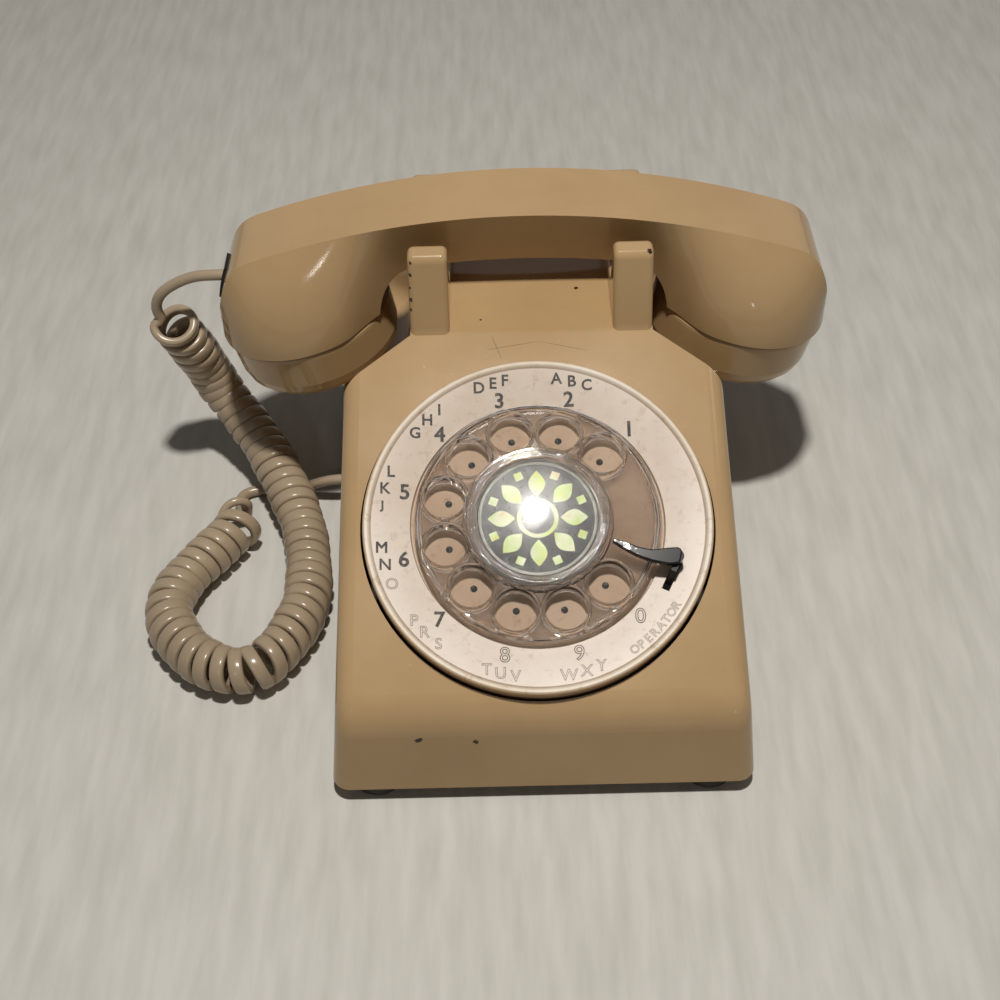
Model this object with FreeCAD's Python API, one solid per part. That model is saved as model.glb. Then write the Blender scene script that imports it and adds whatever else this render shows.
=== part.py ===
import FreeCAD, Part
import math
import os

V = FreeCAD.Vector

# main sizes in millimetres: X to the viewer's right, Y to the back, Z up, feet on z = 0
FLOOR_GAP = 6.0            # underside of the housing above the floor
WALL = 3.0                 # housing wall
FRONT_Y = -110.7           # front edge of the housing at the bottom
REAR_Y = 111.0             # rear edge of the housing at the bottom
LIP_Y = -105.8             # where front wall and sloping face meet
FACE_TILT = 25.7           # slope of the face and the dial, degrees
DIAL_Y = -50.0             # dial centre
DIAL_Z = 64.0
RIDGE_Y = 12.3             # upper end of the face
SIDE_X = 68.3              # half width at the bottom, front
SIDE_OUT = 0.041           # how fast the sides widen to the back
SIDE_DRAFT = 0.114         # how fast the sides narrow upwards
EDGE_R = 6.0               # rounding of the long edges
LIP_R = 15.0
EAR_IN = 27.6              # ears, inner and outer side
EAR_OUT = 41.0
EAR_WALL = 2.0
EAR_TOP = 119.4            # front ears
REAR_EAR_TOP = 114.8       # rear ears, hidden behind the handle
WELL_Y = 57.0              # front of the finger recess behind the cradle bar
SEAT_Z = 100.2             # floor of the cradle between front and rear ear
HS_X = -2.2                # the handset lies a little to the left
HS_Y = 49.3
HS_HIGH = 24.5             # crest of the handle above the cradle seat
HS_TOP = SEAT_Z + HS_HIGH
HS_ARC = 270.0             # radius of the arched handle
HS_HALF = 14.5             # half width of the handle's flat top
CAP_X = 78.5               # cap centre from the middle of the handset
CAP_Z = 79.2
CAP_R = 30.6
CAP_IN = CAP_R - 4.3       # inside of the cap's neck, which holds the capsule
CAP_TILT = 12.0
CAP_H = 19.5
PLUNGER_X = (EAR_IN + EAR_OUT) / 2
PLUNGER_R = 4.0
PLATE_R = 56.4             # number plate
PLATE_GAP = 1.0            # gap around it in the housing
WHEEL_R = 39.4             # finger wheel
HOLE_R = 6.8               # finger hole
HOLE_PITCH_R = 30.65
CARD_R = 19.4              # card under the dome
HOLE_FIRST = 45.3          # angle of the first finger hole
HOLE_STEP = 30.0
BASE_T = 1.5
BASE_Z = FLOOR_GAP + 0.6   # underside of the base plate
BASE_TOP = BASE_Z + BASE_T
RUN = 0.05                 # running clearance of shafts
CORD_R = 2.0               # handset cord

TAN = math.tan(math.radians(FACE_TILT))
SIN = math.sin(math.radians(FACE_TILT))
COS = math.cos(math.radians(FACE_TILT))


def face_z(y):
    return DIAL_Z - 0.5 + TAN * (y - DIAL_Y)


def side_x(y, z, t=0.0):
    n = math.sqrt(1.0 + SIDE_OUT ** 2 + SIDE_DRAFT ** 2)
    return SIDE_X + SIDE_OUT * (y + 104.0) - SIDE_DRAFT * (z - FLOOR_GAP) - t * n


# small helpers
def box(x0, x1, y0, y1, z0, z1):
    return Part.makeBox(x1 - x0, y1 - y0, z1 - z0, V(x0, y0, z0))


def cyl(r, p, d, h):
    return Part.makeCylinder(r, h, V(*p), V(*d))


def tube(ro, ri, p, d, h):
    return cyl(ro, p, d, h).cut(cyl(ri, p, d, h))


def poly_face(pts):
    return Part.Face(Part.makePolygon([V(*p) for p in pts] + [V(*pts[0])]))


def prism(pts, d):
    return poly_face(pts).extrude(V(*d))


def prism_yz(pts, x0, x1):
    return prism([(x0, p[0], p[1]) for p in pts], (x1 - x0, 0, 0))


def prism_xz(pts, y0, y1):
    return prism([(p[0], y0, p[1]) for p in pts], (0, y1 - y0, 0))


def prism_xy(pts, z0, z1):
    return prism([(p[0], p[1], z0) for p in pts], (0, 0, z1 - z0))


def rounded_wire(pts, radii, mk):
    # closed wire through 2-D points with tangent arcs at the corners
    n = len(pts)
    segs = []
    for i in range(n):
        p, a, b = pts[i], pts[i - 1], pts[(i + 1) % n]
        r = radii[i]
        if r <= 0:
            segs.append((p, p, p))
            continue
        ua = (a[0] - p[0], a[1] - p[1])
        ub = (b[0] - p[0], b[1] - p[1])
        la, lb = math.hypot(*ua), math.hypot(*ub)
        ua = (ua[0] / la, ua[1] / la)
        ub = (ub[0] / lb, ub[1] / lb)
        half = 0.5 * math.acos(max(-1.0, min(1.0, ua[0] * ub[0] + ua[1] * ub[1])))
        t = min(r / math.tan(half), 0.48 * la, 0.48 * lb)
        r = t * math.tan(half)
        s = (p[0] + ua[0] * t, p[1] + ua[1] * t)
        e = (p[0] + ub[0] * t, p[1] + ub[1] * t)
        m = (ua[0] + ub[0], ua[1] + ub[1])
        lm = math.hypot(*m)
        k = r / math.sin(half) - r
        mid = (p[0] + m[0] / lm * k, p[1] + m[1] / lm * k)
        segs.append((s, mid, e))
    edges = []
    for i in range(n):
        s, mid, e = segs[i]
        if s != e:
            edges.append(Part.Arc(mk(s), mk(mid), mk(e)).toShape())
        nx = segs[(i + 1) % n][0]
        if math.hypot(nx[0] - e[0], nx[1] - e[1]) > 1e-6:
            edges.append(Part.makeLine(mk(e), mk(nx)))
    return Part.Wire(edges)


def rounded_yz(pts, radii, x0, x1):
    w = rounded_wire(pts, radii, lambda p: V(x0, p[0], p[1]))
    return Part.Face(w).extrude(V(x1 - x0, 0, 0))


def rounded_xy(pts, radii, z0, z1):
    w = rounded_wire(pts, radii, lambda p: V(p[0], p[1], z0))
    return Part.Face(w).extrude(V(0, 0, z1 - z0))


def rounded_xz(pts, radii, y0, y1):
    w = rounded_wire(pts, radii, lambda p: V(p[0], y0, p[1]))
    return Part.Face(w).extrude(V(0, y1 - y0, 0))


def rbox(x0, x1, y0, y1, z0, z1, r):
    return rounded_xy([(x0, y0), (x1, y0), (x1, y1), (x0, y1)], [r] * 4, z0, z1)


def offset_poly(pts, t):
    # counter-clockwise polygon moved inwards by t
    n = len(pts)
    out = []
    for i in range(n):
        a, p, b = pts[i - 1], pts[i], pts[(i + 1) % n]
        d1 = (p[0] - a[0], p[1] - a[1])
        d2 = (b[0] - p[0], b[1] - p[1])
        l1, l2 = math.hypot(*d1), math.hypot(*d2)
        n1 = (-d1[1] / l1, d1[0] / l1)
        n2 = (-d2[1] / l2, d2[0] / l2)
        c = n1[0] * n2[0] + n1[1] * n2[1]
        m = ((n1[0] + n2[0]) / (1 + c), (n1[1] + n2[1]) / (1 + c))
        out.append((p[0] + m[0] * t, p[1] + m[1] * t))
    return out


def revolve(pts, p=(0, 0, 0), d=(0, 0, 1), ang=360):
    # profile points (radius, height) turned about the Z axis, then placed
    w = Part.makePolygon([V(a, 0, b) for a, b in pts] + [V(pts[0][0], 0, pts[0][1])])
    s = Part.Face(w).revolve(V(0, 0, 0), V(0, 0, 1), ang)
    s.Placement = FreeCAD.Placement(V(*p), FreeCAD.Rotation(V(0, 0, 1), V(*d)))
    return s


def revolve_wire(edges, ang=360):
    return Part.Face(Part.Wire(edges)).revolve(V(0, 0, 0), V(0, 0, 1), ang)


def fuse(shapes):
    s = shapes[0]
    if len(shapes) > 1:
        s = s.multiFuse(shapes[1:])
    return s.removeSplitter()


def group(shapes):
    return Part.makeCompound(shapes)


def try_fillet(s, r, pick):
    es = [e for e in s.Edges if pick(e)]
    if not es:
        return s
    try:
        f = s.makeFillet(r, es)
        if f.isValid() and f.Volume > 0.5 * s.Volume:
            return f
    except Exception:
        pass
    for e in es:
        try:
            mid = e.valueAt(0.5 * (e.FirstParameter + e.LastParameter))
            cand = [g for g in s.Edges
                    if (g.valueAt(0.5 * (g.FirstParameter + g.LastParameter)) - mid).Length < 1e-3]
            f = s.makeFillet(r, cand[:1])
            if f.isValid() and f.Volume > 0.5 * s.Volume:
                s = f
        except Exception:
            pass
    return s


def on_dial(s):
    s = s.copy()
    s.Placement = FreeCAD.Placement(V(0, DIAL_Y, DIAL_Z), FreeCAD.Rotation(V(1, 0, 0), FACE_TILT)).multiply(s.Placement)
    return s


NODES = {}


def add(name, shape):
    NODES[name] = shape


# housing
def body_profile(t):
    z_lip = face_z(LIP_Y)
    z_ridge = face_z(RIDGE_Y)
    pts = [(FRONT_Y, FLOOR_GAP), (REAR_Y, FLOOR_GAP), (86.7, z_ridge), (RIDGE_Y, z_ridge), (LIP_Y, z_lip)]
    radii = [0, 0, 6.0, 3.0, LIP_R]
    if t > 0:
        pts = offset_poly(pts, t)
        lower = FLOOR_GAP - 2.0
        k0 = (pts[4][0] - pts[0][0]) / (pts[4][1] - pts[0][1])
        k1 = (pts[2][0] - pts[1][0]) / (pts[2][1] - pts[1][1])
        pts[0] = (pts[0][0] - k0 * (pts[0][1] - lower), lower)
        pts[1] = (pts[1][0] - k1 * (pts[1][1] - lower), lower)
        radii = [0, 0, 3.0, 1.0, LIP_R - t]
    return pts, radii


def side_block(t):
    y0, y1, z0, z1 = -160.0, 160.0, -20.0, 150.0
    c = {}
    for sy, y in ((0, y0), (1, y1)):
        for sz, z in ((0, z0), (1, z1)):
            x = side_x(y, z, t)
            c[(0, sy, sz)] = (-x, y, z)
            c[(1, sy, sz)] = (x, y, z)
    quads = [[(0, 0, 0), (0, 1, 0), (0, 1, 1), (0, 0, 1)], [(1, 0, 0), (1, 1, 0), (1, 1, 1), (1, 0, 1)],
             [(0, 0, 0), (1, 0, 0), (1, 0, 1), (0, 0, 1)], [(0, 1, 0), (1, 1, 0), (1, 1, 1), (0, 1, 1)],
             [(0, 0, 0), (1, 0, 0), (1, 1, 0), (0, 1, 0)], [(0, 0, 1), (1, 0, 1), (1, 1, 1), (0, 1, 1)]]
    faces = [poly_face([c[k] for k in q]) for q in quads]
    return Part.Solid(Part.Shell(faces))


def body_solid(t, r):
    pts, radii = body_profile(t)
    s = rounded_yz(pts, radii, -100, 100).common(side_block(t))
    low = FLOOR_GAP + 0.01 if t == 0 else FLOOR_GAP - 1.99

    def pick(e):
        a, b = e.Vertexes[0].Point, e.Vertexes[-1].Point
        if a.x * b.x <= 0 or min(abs(a.x), abs(b.x)) < 40:
            return False
        return max(a.z, b.z) > low + 0.5
    return try_fillet(s, r, pick)


def scoop(side, t):
    # room for the handset's cup beside the cradle, widened by t for the inner skin
    def ring(o, z, extra):
        k = 0.7 * extra
        p = [(EAR_OUT + o - t, 11.7 + k + t * 0.4), (62.7 + o * 0.5 - t, -4.2 + k - t), (95.0, -29.9 + k - t * 1.3),
             (95.0, 128.0 - k + t * 1.3), (62.7 + o * 0.5 - t, 104.5 - k + t), (EAR_OUT + o - t, 89.5 - k - t * 0.4)]
        return Part.makePolygon([V(side * a, b, z) for a, b in p] + [V(side * p[0][0], p[0][1], z)])
    top = ring(-3.6, 135.0, -4.0)
    low = ring(4.0, 49.0 - t, 5.0)
    s = Part.makeLoft([low, top], True, True)
    s = try_fillet(s, 9.0 if t == 0 else 5.0, lambda e: all(abs(v.Point.z - (49.0 - t)) < 1e-3 for v in e.Vertexes)
                   and all(abs(v.Point.x) < 90 for v in e.Vertexes))
    return s


def ear_profile():
    zr = face_z(RIDGE_Y)
    return ([(8.0, zr - 6.0), (91.0, zr - 6.0), (86.9, zr), (78.2, REAR_EAR_TOP), (70.6, REAR_EAR_TOP), (68.2, SEAT_Z),
             (31.0, SEAT_Z), (28.0, EAR_TOP), (20.8, EAR_TOP), (RIDGE_Y - 0.2, zr)],
            [0, 0, 14.0, 4.0, 3.0, 6.0, 6.0, 3.0, 4.0, 14.0])


def make_housing():
    s = body_solid(0, EDGE_R)
    for side in (-1, 1):
        s = s.cut(scoop(side, 0))
    z_r = face_z(RIDGE_Y)

    def diag(e):
        m = e.valueAt(0.5 * (e.FirstParameter + e.LastParameter))
        if abs(m.x) < EAR_OUT - 2 or m.z < 60:
            return False
        return abs(m.z - face_z(m.y)) < 1.2 and m.y > -12 and m.y < 16
    s = try_fillet(s, 2.2, diag)
    ears = []
    pts, radii = ear_profile()
    for side in (-1, 1):
        x0, x1 = (EAR_IN, EAR_OUT) if side > 0 else (-EAR_OUT, -EAR_IN)
        e = rounded_yz(pts, radii, x0, x1)
        e = try_fillet(e, 2.0, lambda g: abs(g.Vertexes[0].Point.x - g.Vertexes[-1].Point.x) < 1e-6
                       and min(v.Point.z for v in g.Vertexes) > SEAT_Z - 16)
        ears.append(e)
    s = fuse([s] + ears)
    inner = body_solid(WALL, EDGE_R - WALL)
    for side in (-1, 1):
        inner = inner.cut(scoop(side, WALL))
    inner = inner.cut(well(2.6))
    s = s.cut(inner)
    for side in (-1, 1):
        x0, x1 = (EAR_IN + EAR_WALL, EAR_OUT - EAR_WALL)
        if side < 0:
            x0, x1 = -x1, -x0
        s = s.cut(rbox(x0, x1, 19.0, 80.0, 80.0, SEAT_Z - 2.6, 2.0))
        s = s.cut(cyl(PLUNGER_R + RUN, (side * PLUNGER_X, HS_Y, SEAT_Z - 5), (0, 0, 1), 12))
    s = s.cut(well(0))
    hole = on_dial(cyl(PLATE_R + PLATE_GAP, (0, 0, -14), (0, 0, 1), 30))
    s = s.cut(hole)
    # notch for the handset cord in the left side, inlet for a line cord at the rear
    nx = side_x(NOTCH_Y, FLOOR_GAP)
    s = s.cut(rounded_yz([(NOTCH_Y - 4.5, FLOOR_GAP - 2), (NOTCH_Y + 4.5, FLOOR_GAP - 2), (NOTCH_Y + 4.5, FLOOR_GAP + 8.5),
                          (NOTCH_Y - 4.5, FLOOR_GAP + 8.5)], [0, 0, 3.5, 3.5], -nx - 5, -nx + 12))
    s = s.cut(rounded_xz([(-12, FLOOR_GAP - 2), (12, FLOOR_GAP - 2), (12, FLOOR_GAP + 7), (-12, FLOOR_GAP + 7)],
                         [0, 0, 3.0, 3.0], REAR_Y - 14, REAR_Y + 4))
    # screw bosses
    for x, y in BOSSES:
        top = face_z(y) - 2.0 if y < 0 else 46.0
        b = cyl(4.2, (x, y, BASE_TOP), (0, 0, 1), top - BASE_TOP)
        rib = box(-side_x(y, 30) + 1.5, x, y - 1.0, y + 1.0, BASE_TOP + 8, top - 4) if x < 0 else \
            box(x, side_x(y, 30) - 1.5, y - 1.0, y + 1.0, BASE_TOP + 8, top - 4)
        s = s.fuse(b.fuse(rib).common(body_solid(1.0, 4.0)))
        s = s.cut(cyl(1.7, (x, y, BASE_TOP - 1), (0, 0, 1), 19))
    s = s.removeSplitter()
    return s


def well(t):
    # finger recess behind the cradle bar, open to the rear
    x = 24.0 + t
    y0 = WELL_Y - t
    z0 = 66.0 - t
    s = rounded_yz([(y0, z0 + 4), (150, z0 - 6), (150, 150), (y0, 150)], [8.0, 0, 0, 0], -x, x)
    return try_fillet(s, 5.0, lambda e: abs(e.Vertexes[0].Point.y - y0) < 1e-3 and abs(e.Vertexes[-1].Point.y - y0) < 1e-3
                      and abs(e.Vertexes[0].Point.z - e.Vertexes[-1].Point.z) > 20)


NOTCH_Y = 27.0
BOSSES = [(-58.5, -80.0), (58.5, -80.0), (-64.5, 90.0), (64.5, 90.0)]

add("housing", make_housing())


# handset: one loft of cross sections along X, cut by the cap planes and the inner arch
def top_z(x):
    # arched top that bends down over the ends
    ax = abs(x)
    arc = HS_TOP - ax * ax / (2 * HS_ARC)
    bend, end = CAP_X + 10.0, CAP_X + CAP_R + 0.25
    if ax <= bend:
        return arc
    drop = HS_TOP - end * end / (2 * HS_ARC) - (CAP_Z - 2.2)
    return arc - drop * min(1.0, (ax - bend) / (end - bend)) ** 4.9


def half_width(x, z):
    ax = abs(x)
    zt = top_z(x)
    down = (zt - z) / (zt - CAP_Z)
    down = max(0.0, min(1.15, down))
    slim = HS_HALF - 4.5 * min(1.0, (zt - z) / 20.0)
    r = CAP_R + 0.6
    ch = math.sqrt(max(0.0, r * r - (ax - CAP_X) ** 2)) if abs(ax - CAP_X) < r else 0.0
    if ax >= CAP_X:
        cup_top = min(HS_HALF, ch)
        k = math.sin(min(1.0, down * 0.92) * math.pi / 2) ** 0.9
        return max(cup_top * 0.9 if ax > CAP_X + 24.0 else cup_top, cup_top + (ch - cup_top) * k) if ch > 0 else 1.0
    wide = math.sqrt(max(0.0, r * r - min(r, CAP_X - ax) ** 2)) if CAP_X - ax < r else 0.0
    k = math.sin(min(1.0, down * 0.92) * math.pi / 2) ** 0.9
    cup = HS_HALF + (max(wide, HS_HALF) - HS_HALF) * k
    blend = max(0.0, min(1.0, (ax - 34.0) / 26.0))
    blend = blend * blend * (3 - 2 * blend)
    return slim * (1 - blend) + cup * blend


def cap_axis(side):
    t = math.radians(CAP_TILT)
    return (-side * math.sin(t), 0.0, -math.cos(t))


def cap_pos(side, h):
    a = cap_axis(side)
    return (HS_X + side * CAP_X + a[0] * h, HS_Y, CAP_Z + a[2] * h)


def on_cap(s, side):
    # local Z points along the cap axis, downwards
    s = s.copy()
    s.Placement = FreeCAD.Placement(V(*cap_pos(side, 0)), FreeCAD.Rotation(V(0, 0, 1), V(*cap_axis(side))))
    return s


def handset_section(x, low):
    zt = top_z(x)
    fr = [0.0, 0.16, 0.34, 0.54, 0.76, 1.0]
    right = []
    for f in fr:
        z = zt + (low - zt) * f
        right.append(V(HS_X + x, HS_Y + half_width(x, z), z))
    left = [V(p.x, 2 * HS_Y - p.y, p.z) for p in right]
    c1 = Part.BSplineCurve()
    c1.interpolate(right)
    c2 = Part.BSplineCurve()
    c2.interpolate(list(reversed(left)))
    return Part.Wire([Part.makeLine(left[0], right[0]), c1.toShape(), Part.makeLine(right[-1], left[-1]), c2.toShape()])


def make_handle():
    xs = [0, 14, 28, 38, 46, 54, 62, 70] + [CAP_X + f * CAP_R for f in (0, 0.245, 0.456, 0.632, 0.772, 0.875, 0.95, 0.995)]
    stations = [-x for x in reversed(xs[1:])] + xs
    s = Part.makeLoft([handset_section(x, 56.0) for x in stations], True, False)
    # below the two cap planes
    for side in (-1, 1):
        cut = on_cap(Part.makeBox(160, 120, 80, V(-80, -60, 0)), side)
        s = s.cut(cut.common(box(HS_X if side > 0 else -200, 200 if side > 0 else HS_X, -50, 150, -50, 200)))
    # inner arch between the cups
    def low(x):
        return SEAT_Z + 4.3 - x * x / (2 * HS_ARC)
    wall = CAP_X - CAP_R + 3.0
    side_pts = [(wall, CAP_Z + 3.0), (wall - 0.7, SEAT_Z - 11.8), (wall - 2.9, SEAT_Z - 5.6), (wall - 7.0, SEAT_Z - 0.9),
                (wall - 13.0, low(wall - 13.0) + 0.05)]
    mid = [(x, low(x)) for x in (30.0, 20.0, 10.0, 0.0)]
    curve_pts = [V(HS_X - a, 0, b) for a, b in side_pts + mid] + [V(HS_X + a, 0, b) for a, b in reversed(side_pts + mid[:-1])]
    c = Part.BSplineCurve()
    c.interpolate(curve_pts)
    foot = wall + 0.6
    w = Part.Wire([c.toShape(), Part.makeLine(V(HS_X + wall, 0, CAP_Z + 3.0), V(HS_X + foot, 0, 40)),
                   Part.makeLine(V(HS_X + foot, 0, 40), V(HS_X - foot, 0, 40)),
                   Part.makeLine(V(HS_X - foot, 0, 40), V(HS_X - wall, 0, CAP_Z + 3.0))])
    s = s.cut(Part.Face(w).extrude(V(0, 120, 0)))
    for side in (-1, 1):
        # neck for the cap and the hollow of the cup
        s = s.fuse(on_cap(tube(CAP_IN + 1.8, CAP_IN, (0, 0, -0.5), (0, 0, 1), 7.5), side))
        s = s.cut(on_cap(cyl(CAP_IN, (0, 0, -9.0), (0, 0, 1), 20), side))
        s = s.cut(on_cap(revolve([(0, -23.8), (9.5, -23.8), (CAP_IN, -9.0), (CAP_IN, -8.5), (0, -8.5)]), side))
    # duct for the wires through the handle
    duct = []
    for k in range(13):
        x = -74.0 + 148.0 / 12 * k
        duct.append((HS_X + x, top_z(x) - 7.0))
    for k in range(13):
        x = 74.0 - 148.0 / 12 * k
        duct.append((HS_X + x, top_z(x) - 15.5))
    s = s.cut(prism_xz(duct, HS_Y - 4.5, HS_Y + 4.5))
    # cord hole in the left end
    s = s.cut(cyl(CORD_R + 0.4, (EXIT_X - 6.0, HS_Y, EXIT_Z), (1, 0, 0), 20))
    return s.removeSplitter()


EXIT_Z = CAP_Z + 13.8
EXIT_X = HS_X - CAP_X - CAP_R + 2.9
add("handset_handle", make_handle())


def cap_outer():
    # outside of a cap: groove at the seam, straight side, rounded lower rim
    return [(CAP_IN + 1.85, 0.0), (CAP_R - 1.2, 0.0), (CAP_R - 0.1, 1.2), (CAP_R, 2.2), (CAP_R - 0.35, CAP_H - 6.0), (CAP_R - 1.1, CAP_H - 2.9),
            (CAP_R - 2.6, CAP_H - 0.8), (CAP_R - 4.6, CAP_H)]


def make_cap(receiver):
    if receiver:
        face = [(CAP_R - 9.5, CAP_H - 0.9), (11.0, CAP_H - 2.6), (0, CAP_H - 3.4), (0, CAP_H - 5.4), (11.0, CAP_H - 4.9),
                (CAP_IN - 1.7, CAP_H - 3.6)]
    else:
        face = [(CAP_R - 8.5, CAP_H - 1.0), (10.75, CAP_H - 1.9), (0, CAP_H - 2.2), (0, CAP_H - 4.2), (10.75, CAP_H - 4.0),
                (CAP_IN - 1.7, CAP_H - 3.4)]
    s = revolve(cap_outer() + face + [(CAP_IN - 0.3, CAP_H - 5.5), (CAP_IN + 0.7, 9.5), (CAP_IN + 0.7, 7.3), (CAP_IN + 1.85, 7.3)])
    holes = []
    if receiver:
        holes.append(cyl(1.3, (0, 0, CAP_H - 8), (0, 0, 1), 12))
        for r, n in ((5.5, 6), (10.5, 12)):
            for k in range(n):
                a = 2 * math.pi * k / n
                holes.append(cyl(1.2, (r * math.cos(a), r * math.sin(a), CAP_H - 8), (0, 0, 1), 12))
    else:
        for r, n in ((4.0, 6), (8.5, 12), (13.0, 18)):
            for k in range(n):
                a = 2 * math.pi * (k + 0.5) / n
                holes.append(cyl(1.0, (r * math.cos(a), r * math.sin(a), CAP_H - 8), (0, 0, 1), 12))
    return s.cut(Part.makeCompound(holes))


add("transmitter_cap", on_cap(make_cap(False), -1))
add("receiver_cap", on_cap(make_cap(True), 1))

# receiver capsule: flanged can with a perforated front and a stepped back, two contact screws
rec = revolve([(0, -6.5), (12.0, -6.5), (12.0, -3.5), (19.5, -3.0), (21.5, -0.5), (21.5, 5.5), (CAP_IN - 0.3, 5.9), (CAP_IN - 0.3, 7.8),
               (CAP_IN - 1.8, 8.2), (CAP_IN - 1.8, CAP_H - 6.6), (0, CAP_H - 6.6)])
rec = rec.cut(Part.makeCompound([cyl(0.9, (r * math.cos(a * math.pi / 3), r * math.sin(a * math.pi / 3), CAP_H - 8.4), (0, 0, 1), 3)
                                 for r, n in ((4.0, 6), (9.0, 6)) for a in range(n)]))
add("receiver_unit", on_cap(rec, 1))
rec_screws = on_cap(group([cyl(2.4, (7.0 * k, 0, -8.1), (0, 0, 1), 1.6) for k in (-1, 1)]), 1)
# transmitter: plastic cup with contact springs, carbon capsule in front of it
cup = revolve([(0, -8.2), (CAP_IN - 3.2, -8.2), (CAP_IN - 2.2, -7.2), (CAP_IN - 0.3, 2.0), (CAP_IN - 0.3, 3.4), (CAP_IN - 3.6, 3.4),
               (CAP_IN - 4.2, -6.4), (0, -6.4)])
add("transmitter_cup", on_cap(cup, -1))
tr = revolve([(0, -3.6), (9.0, -3.6), (10.0, -1.0), (19.0, 0.4), (20.2, 3.6), (CAP_IN - 0.5, 3.6), (CAP_IN - 0.5, 5.6), (19.0, CAP_H - 6.1),
              (0, CAP_H - 4.9)])
add("transmitter_unit", on_cap(tr, -1))
spr = []
for k in (-1, 1):
    leaf = box(-14.5, -2.0, 4.0 * k - 1.6, 4.0 * k + 1.6, -6.4, -6.0)
    foot = prism([(-2.0, 4.0 * k - 1.6, -6.4), (0.0, 4.0 * k - 1.6, -6.0), (5.0, 4.0 * k - 1.6, -3.9),
                  (5.0, 4.0 * k - 1.6, -3.6), (4.6, 4.0 * k - 1.6, -3.6), (-2.0, 4.0 * k - 1.6, -6.0)], (0, 3.2, 0))
    scr = cyl(1.8, (-12.0, 4.0 * k, -6.0), (0, 0, 1), 1.4)
    spr.append(fuse([leaf, foot, scr]))
add("handset_contacts", group(on_cap(group(spr), -1).Solids + rec_screws.Solids))


# stay where the cord leaves the handset: thin bent metal tab that follows the end of the handset
STAY_T = 1.1
STAY_HALF = 4.4


def make_stay():
    inner, outer = [], []
    for k in range(9):
        x = CAP_X + CAP_R - 5.2 + 0.47 * k
        slope = (top_z(x + 0.05) - top_z(x - 0.05)) / 0.1
        n = math.hypot(slope, 1.0)
        inner.append((HS_X - x, top_z(x)))
        outer.append((HS_X - x + slope / n * STAY_T, top_z(x) + STAY_T / n))
    s = prism_xz(inner + list(reversed(outer)), HS_Y - STAY_HALF, HS_Y + STAY_HALF)
    return s.cut(cyl(CORD_R, (EXIT_X - 10.0, HS_Y, EXIT_Z), (1, 0, 0), 20))


stay = make_stay()
stay = stay.cut(NODES["handset_handle"])
stay = max(stay.Solids, key=lambda q: q.Volume)
add("cord_stay_handset", stay)


# dial, drawn in its own frame: centre of the number plate, third axis out of the face
def hole_angle(k):
    return math.radians(HOLE_FIRST + HOLE_STEP * k)


def at(r, ang_deg, w=0.0):
    a = math.radians(ang_deg)
    return (r * math.cos(a), r * math.sin(a), w)


SHAFT_R = 3.0
PLATE_SCREWS = (20.0, 140.0, 262.0)
STOP_SLOT = ((44.6, -13.6), (39.8, -23.0))


def make_number_plate():
    s = revolve([(5.2, -2.0), (5.2, 0.0), (40.8, 0.0), (41.2, 1.2), (43.0, 1.5), (53.6, 3.3), (54.8, 4.1), (55.6, 4.3),
                 (56.2, 3.9), (PLATE_R, 3.0), (PLATE_R, -7.0), (54.0, -7.0), (54.0, 1.2), (42.0, -0.6), (40.8, -2.0)])
    (x0, y0), (x1, y1) = STOP_SLOT
    a = math.degrees(math.atan2(y1 - y0, x1 - x0))
    slot = Part.makeBox(math.hypot(x1 - x0, y1 - y0) + 0.6, 2.6, 20, V(-0.3, -1.3, -10))
    slot.Placement = FreeCAD.Placement(V(x0, y0, 0), FreeCAD.Rotation(V(0, 0, 1), a))
    s = s.cut(slot)
    for ang in PLATE_SCREWS:
        s = s.cut(cyl(1.1, at(34.0, ang, -4), (0, 0, 1), 3.3))
    return s


def make_finger_wheel():
    s = revolve([(SHAFT_R + RUN, 1.9), (7.0, 1.9), (7.0, 3.0), (22.6, 3.0), (38.0, 2.6), (38.0, 1.7), (38.4, 1.3), (39.1, 1.3),
                 (WHEEL_R, 1.8), (WHEEL_R, 5.6), (39.0, 6.3), (38.2, 6.5), (37.4, 6.3), (37.0, 5.4), (24.3, 5.4),
                 (24.0, 7.6), (23.2, 8.2), (22.9, 8.2), (22.9, 5.0), (SHAFT_R + RUN, 5.0)])
    rings, cuts = [], []
    for k in range(10):
        a = hole_angle(k)
        p = (HOLE_PITCH_R * math.cos(a), HOLE_PITCH_R * math.sin(a), 0)
        r = revolve([(HOLE_R - 0.6, 1.0), (HOLE_R + 0.9, 1.0), (HOLE_R + 1.3, 1.5), (HOLE_R + 1.3, 5.6), (HOLE_R + 0.9, 6.3),
                     (HOLE_R + 0.3, 6.5), (HOLE_R - 0.6, 6.5)], p)
        rings.append(r)
        cuts.append(cyl(HOLE_R, (p[0], p[1], 0), (0, 0, 1), 10))
    s = s.multiFuse(rings)
    s = s.cut(Part.makeCompound(cuts))
    ring = tube(60.0, WHEEL_R + 0.01, (0, 0, 0), (0, 0, 1), 12)
    s = s.cut(ring)
    core = cyl(22.9, (0, 0, 5.0), (0, 0, 1), 10)
    return s.cut(core).removeSplitter()


add("number_plate", on_dial(make_number_plate()))
add("finger_wheel", on_dial(make_finger_wheel()))
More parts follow.
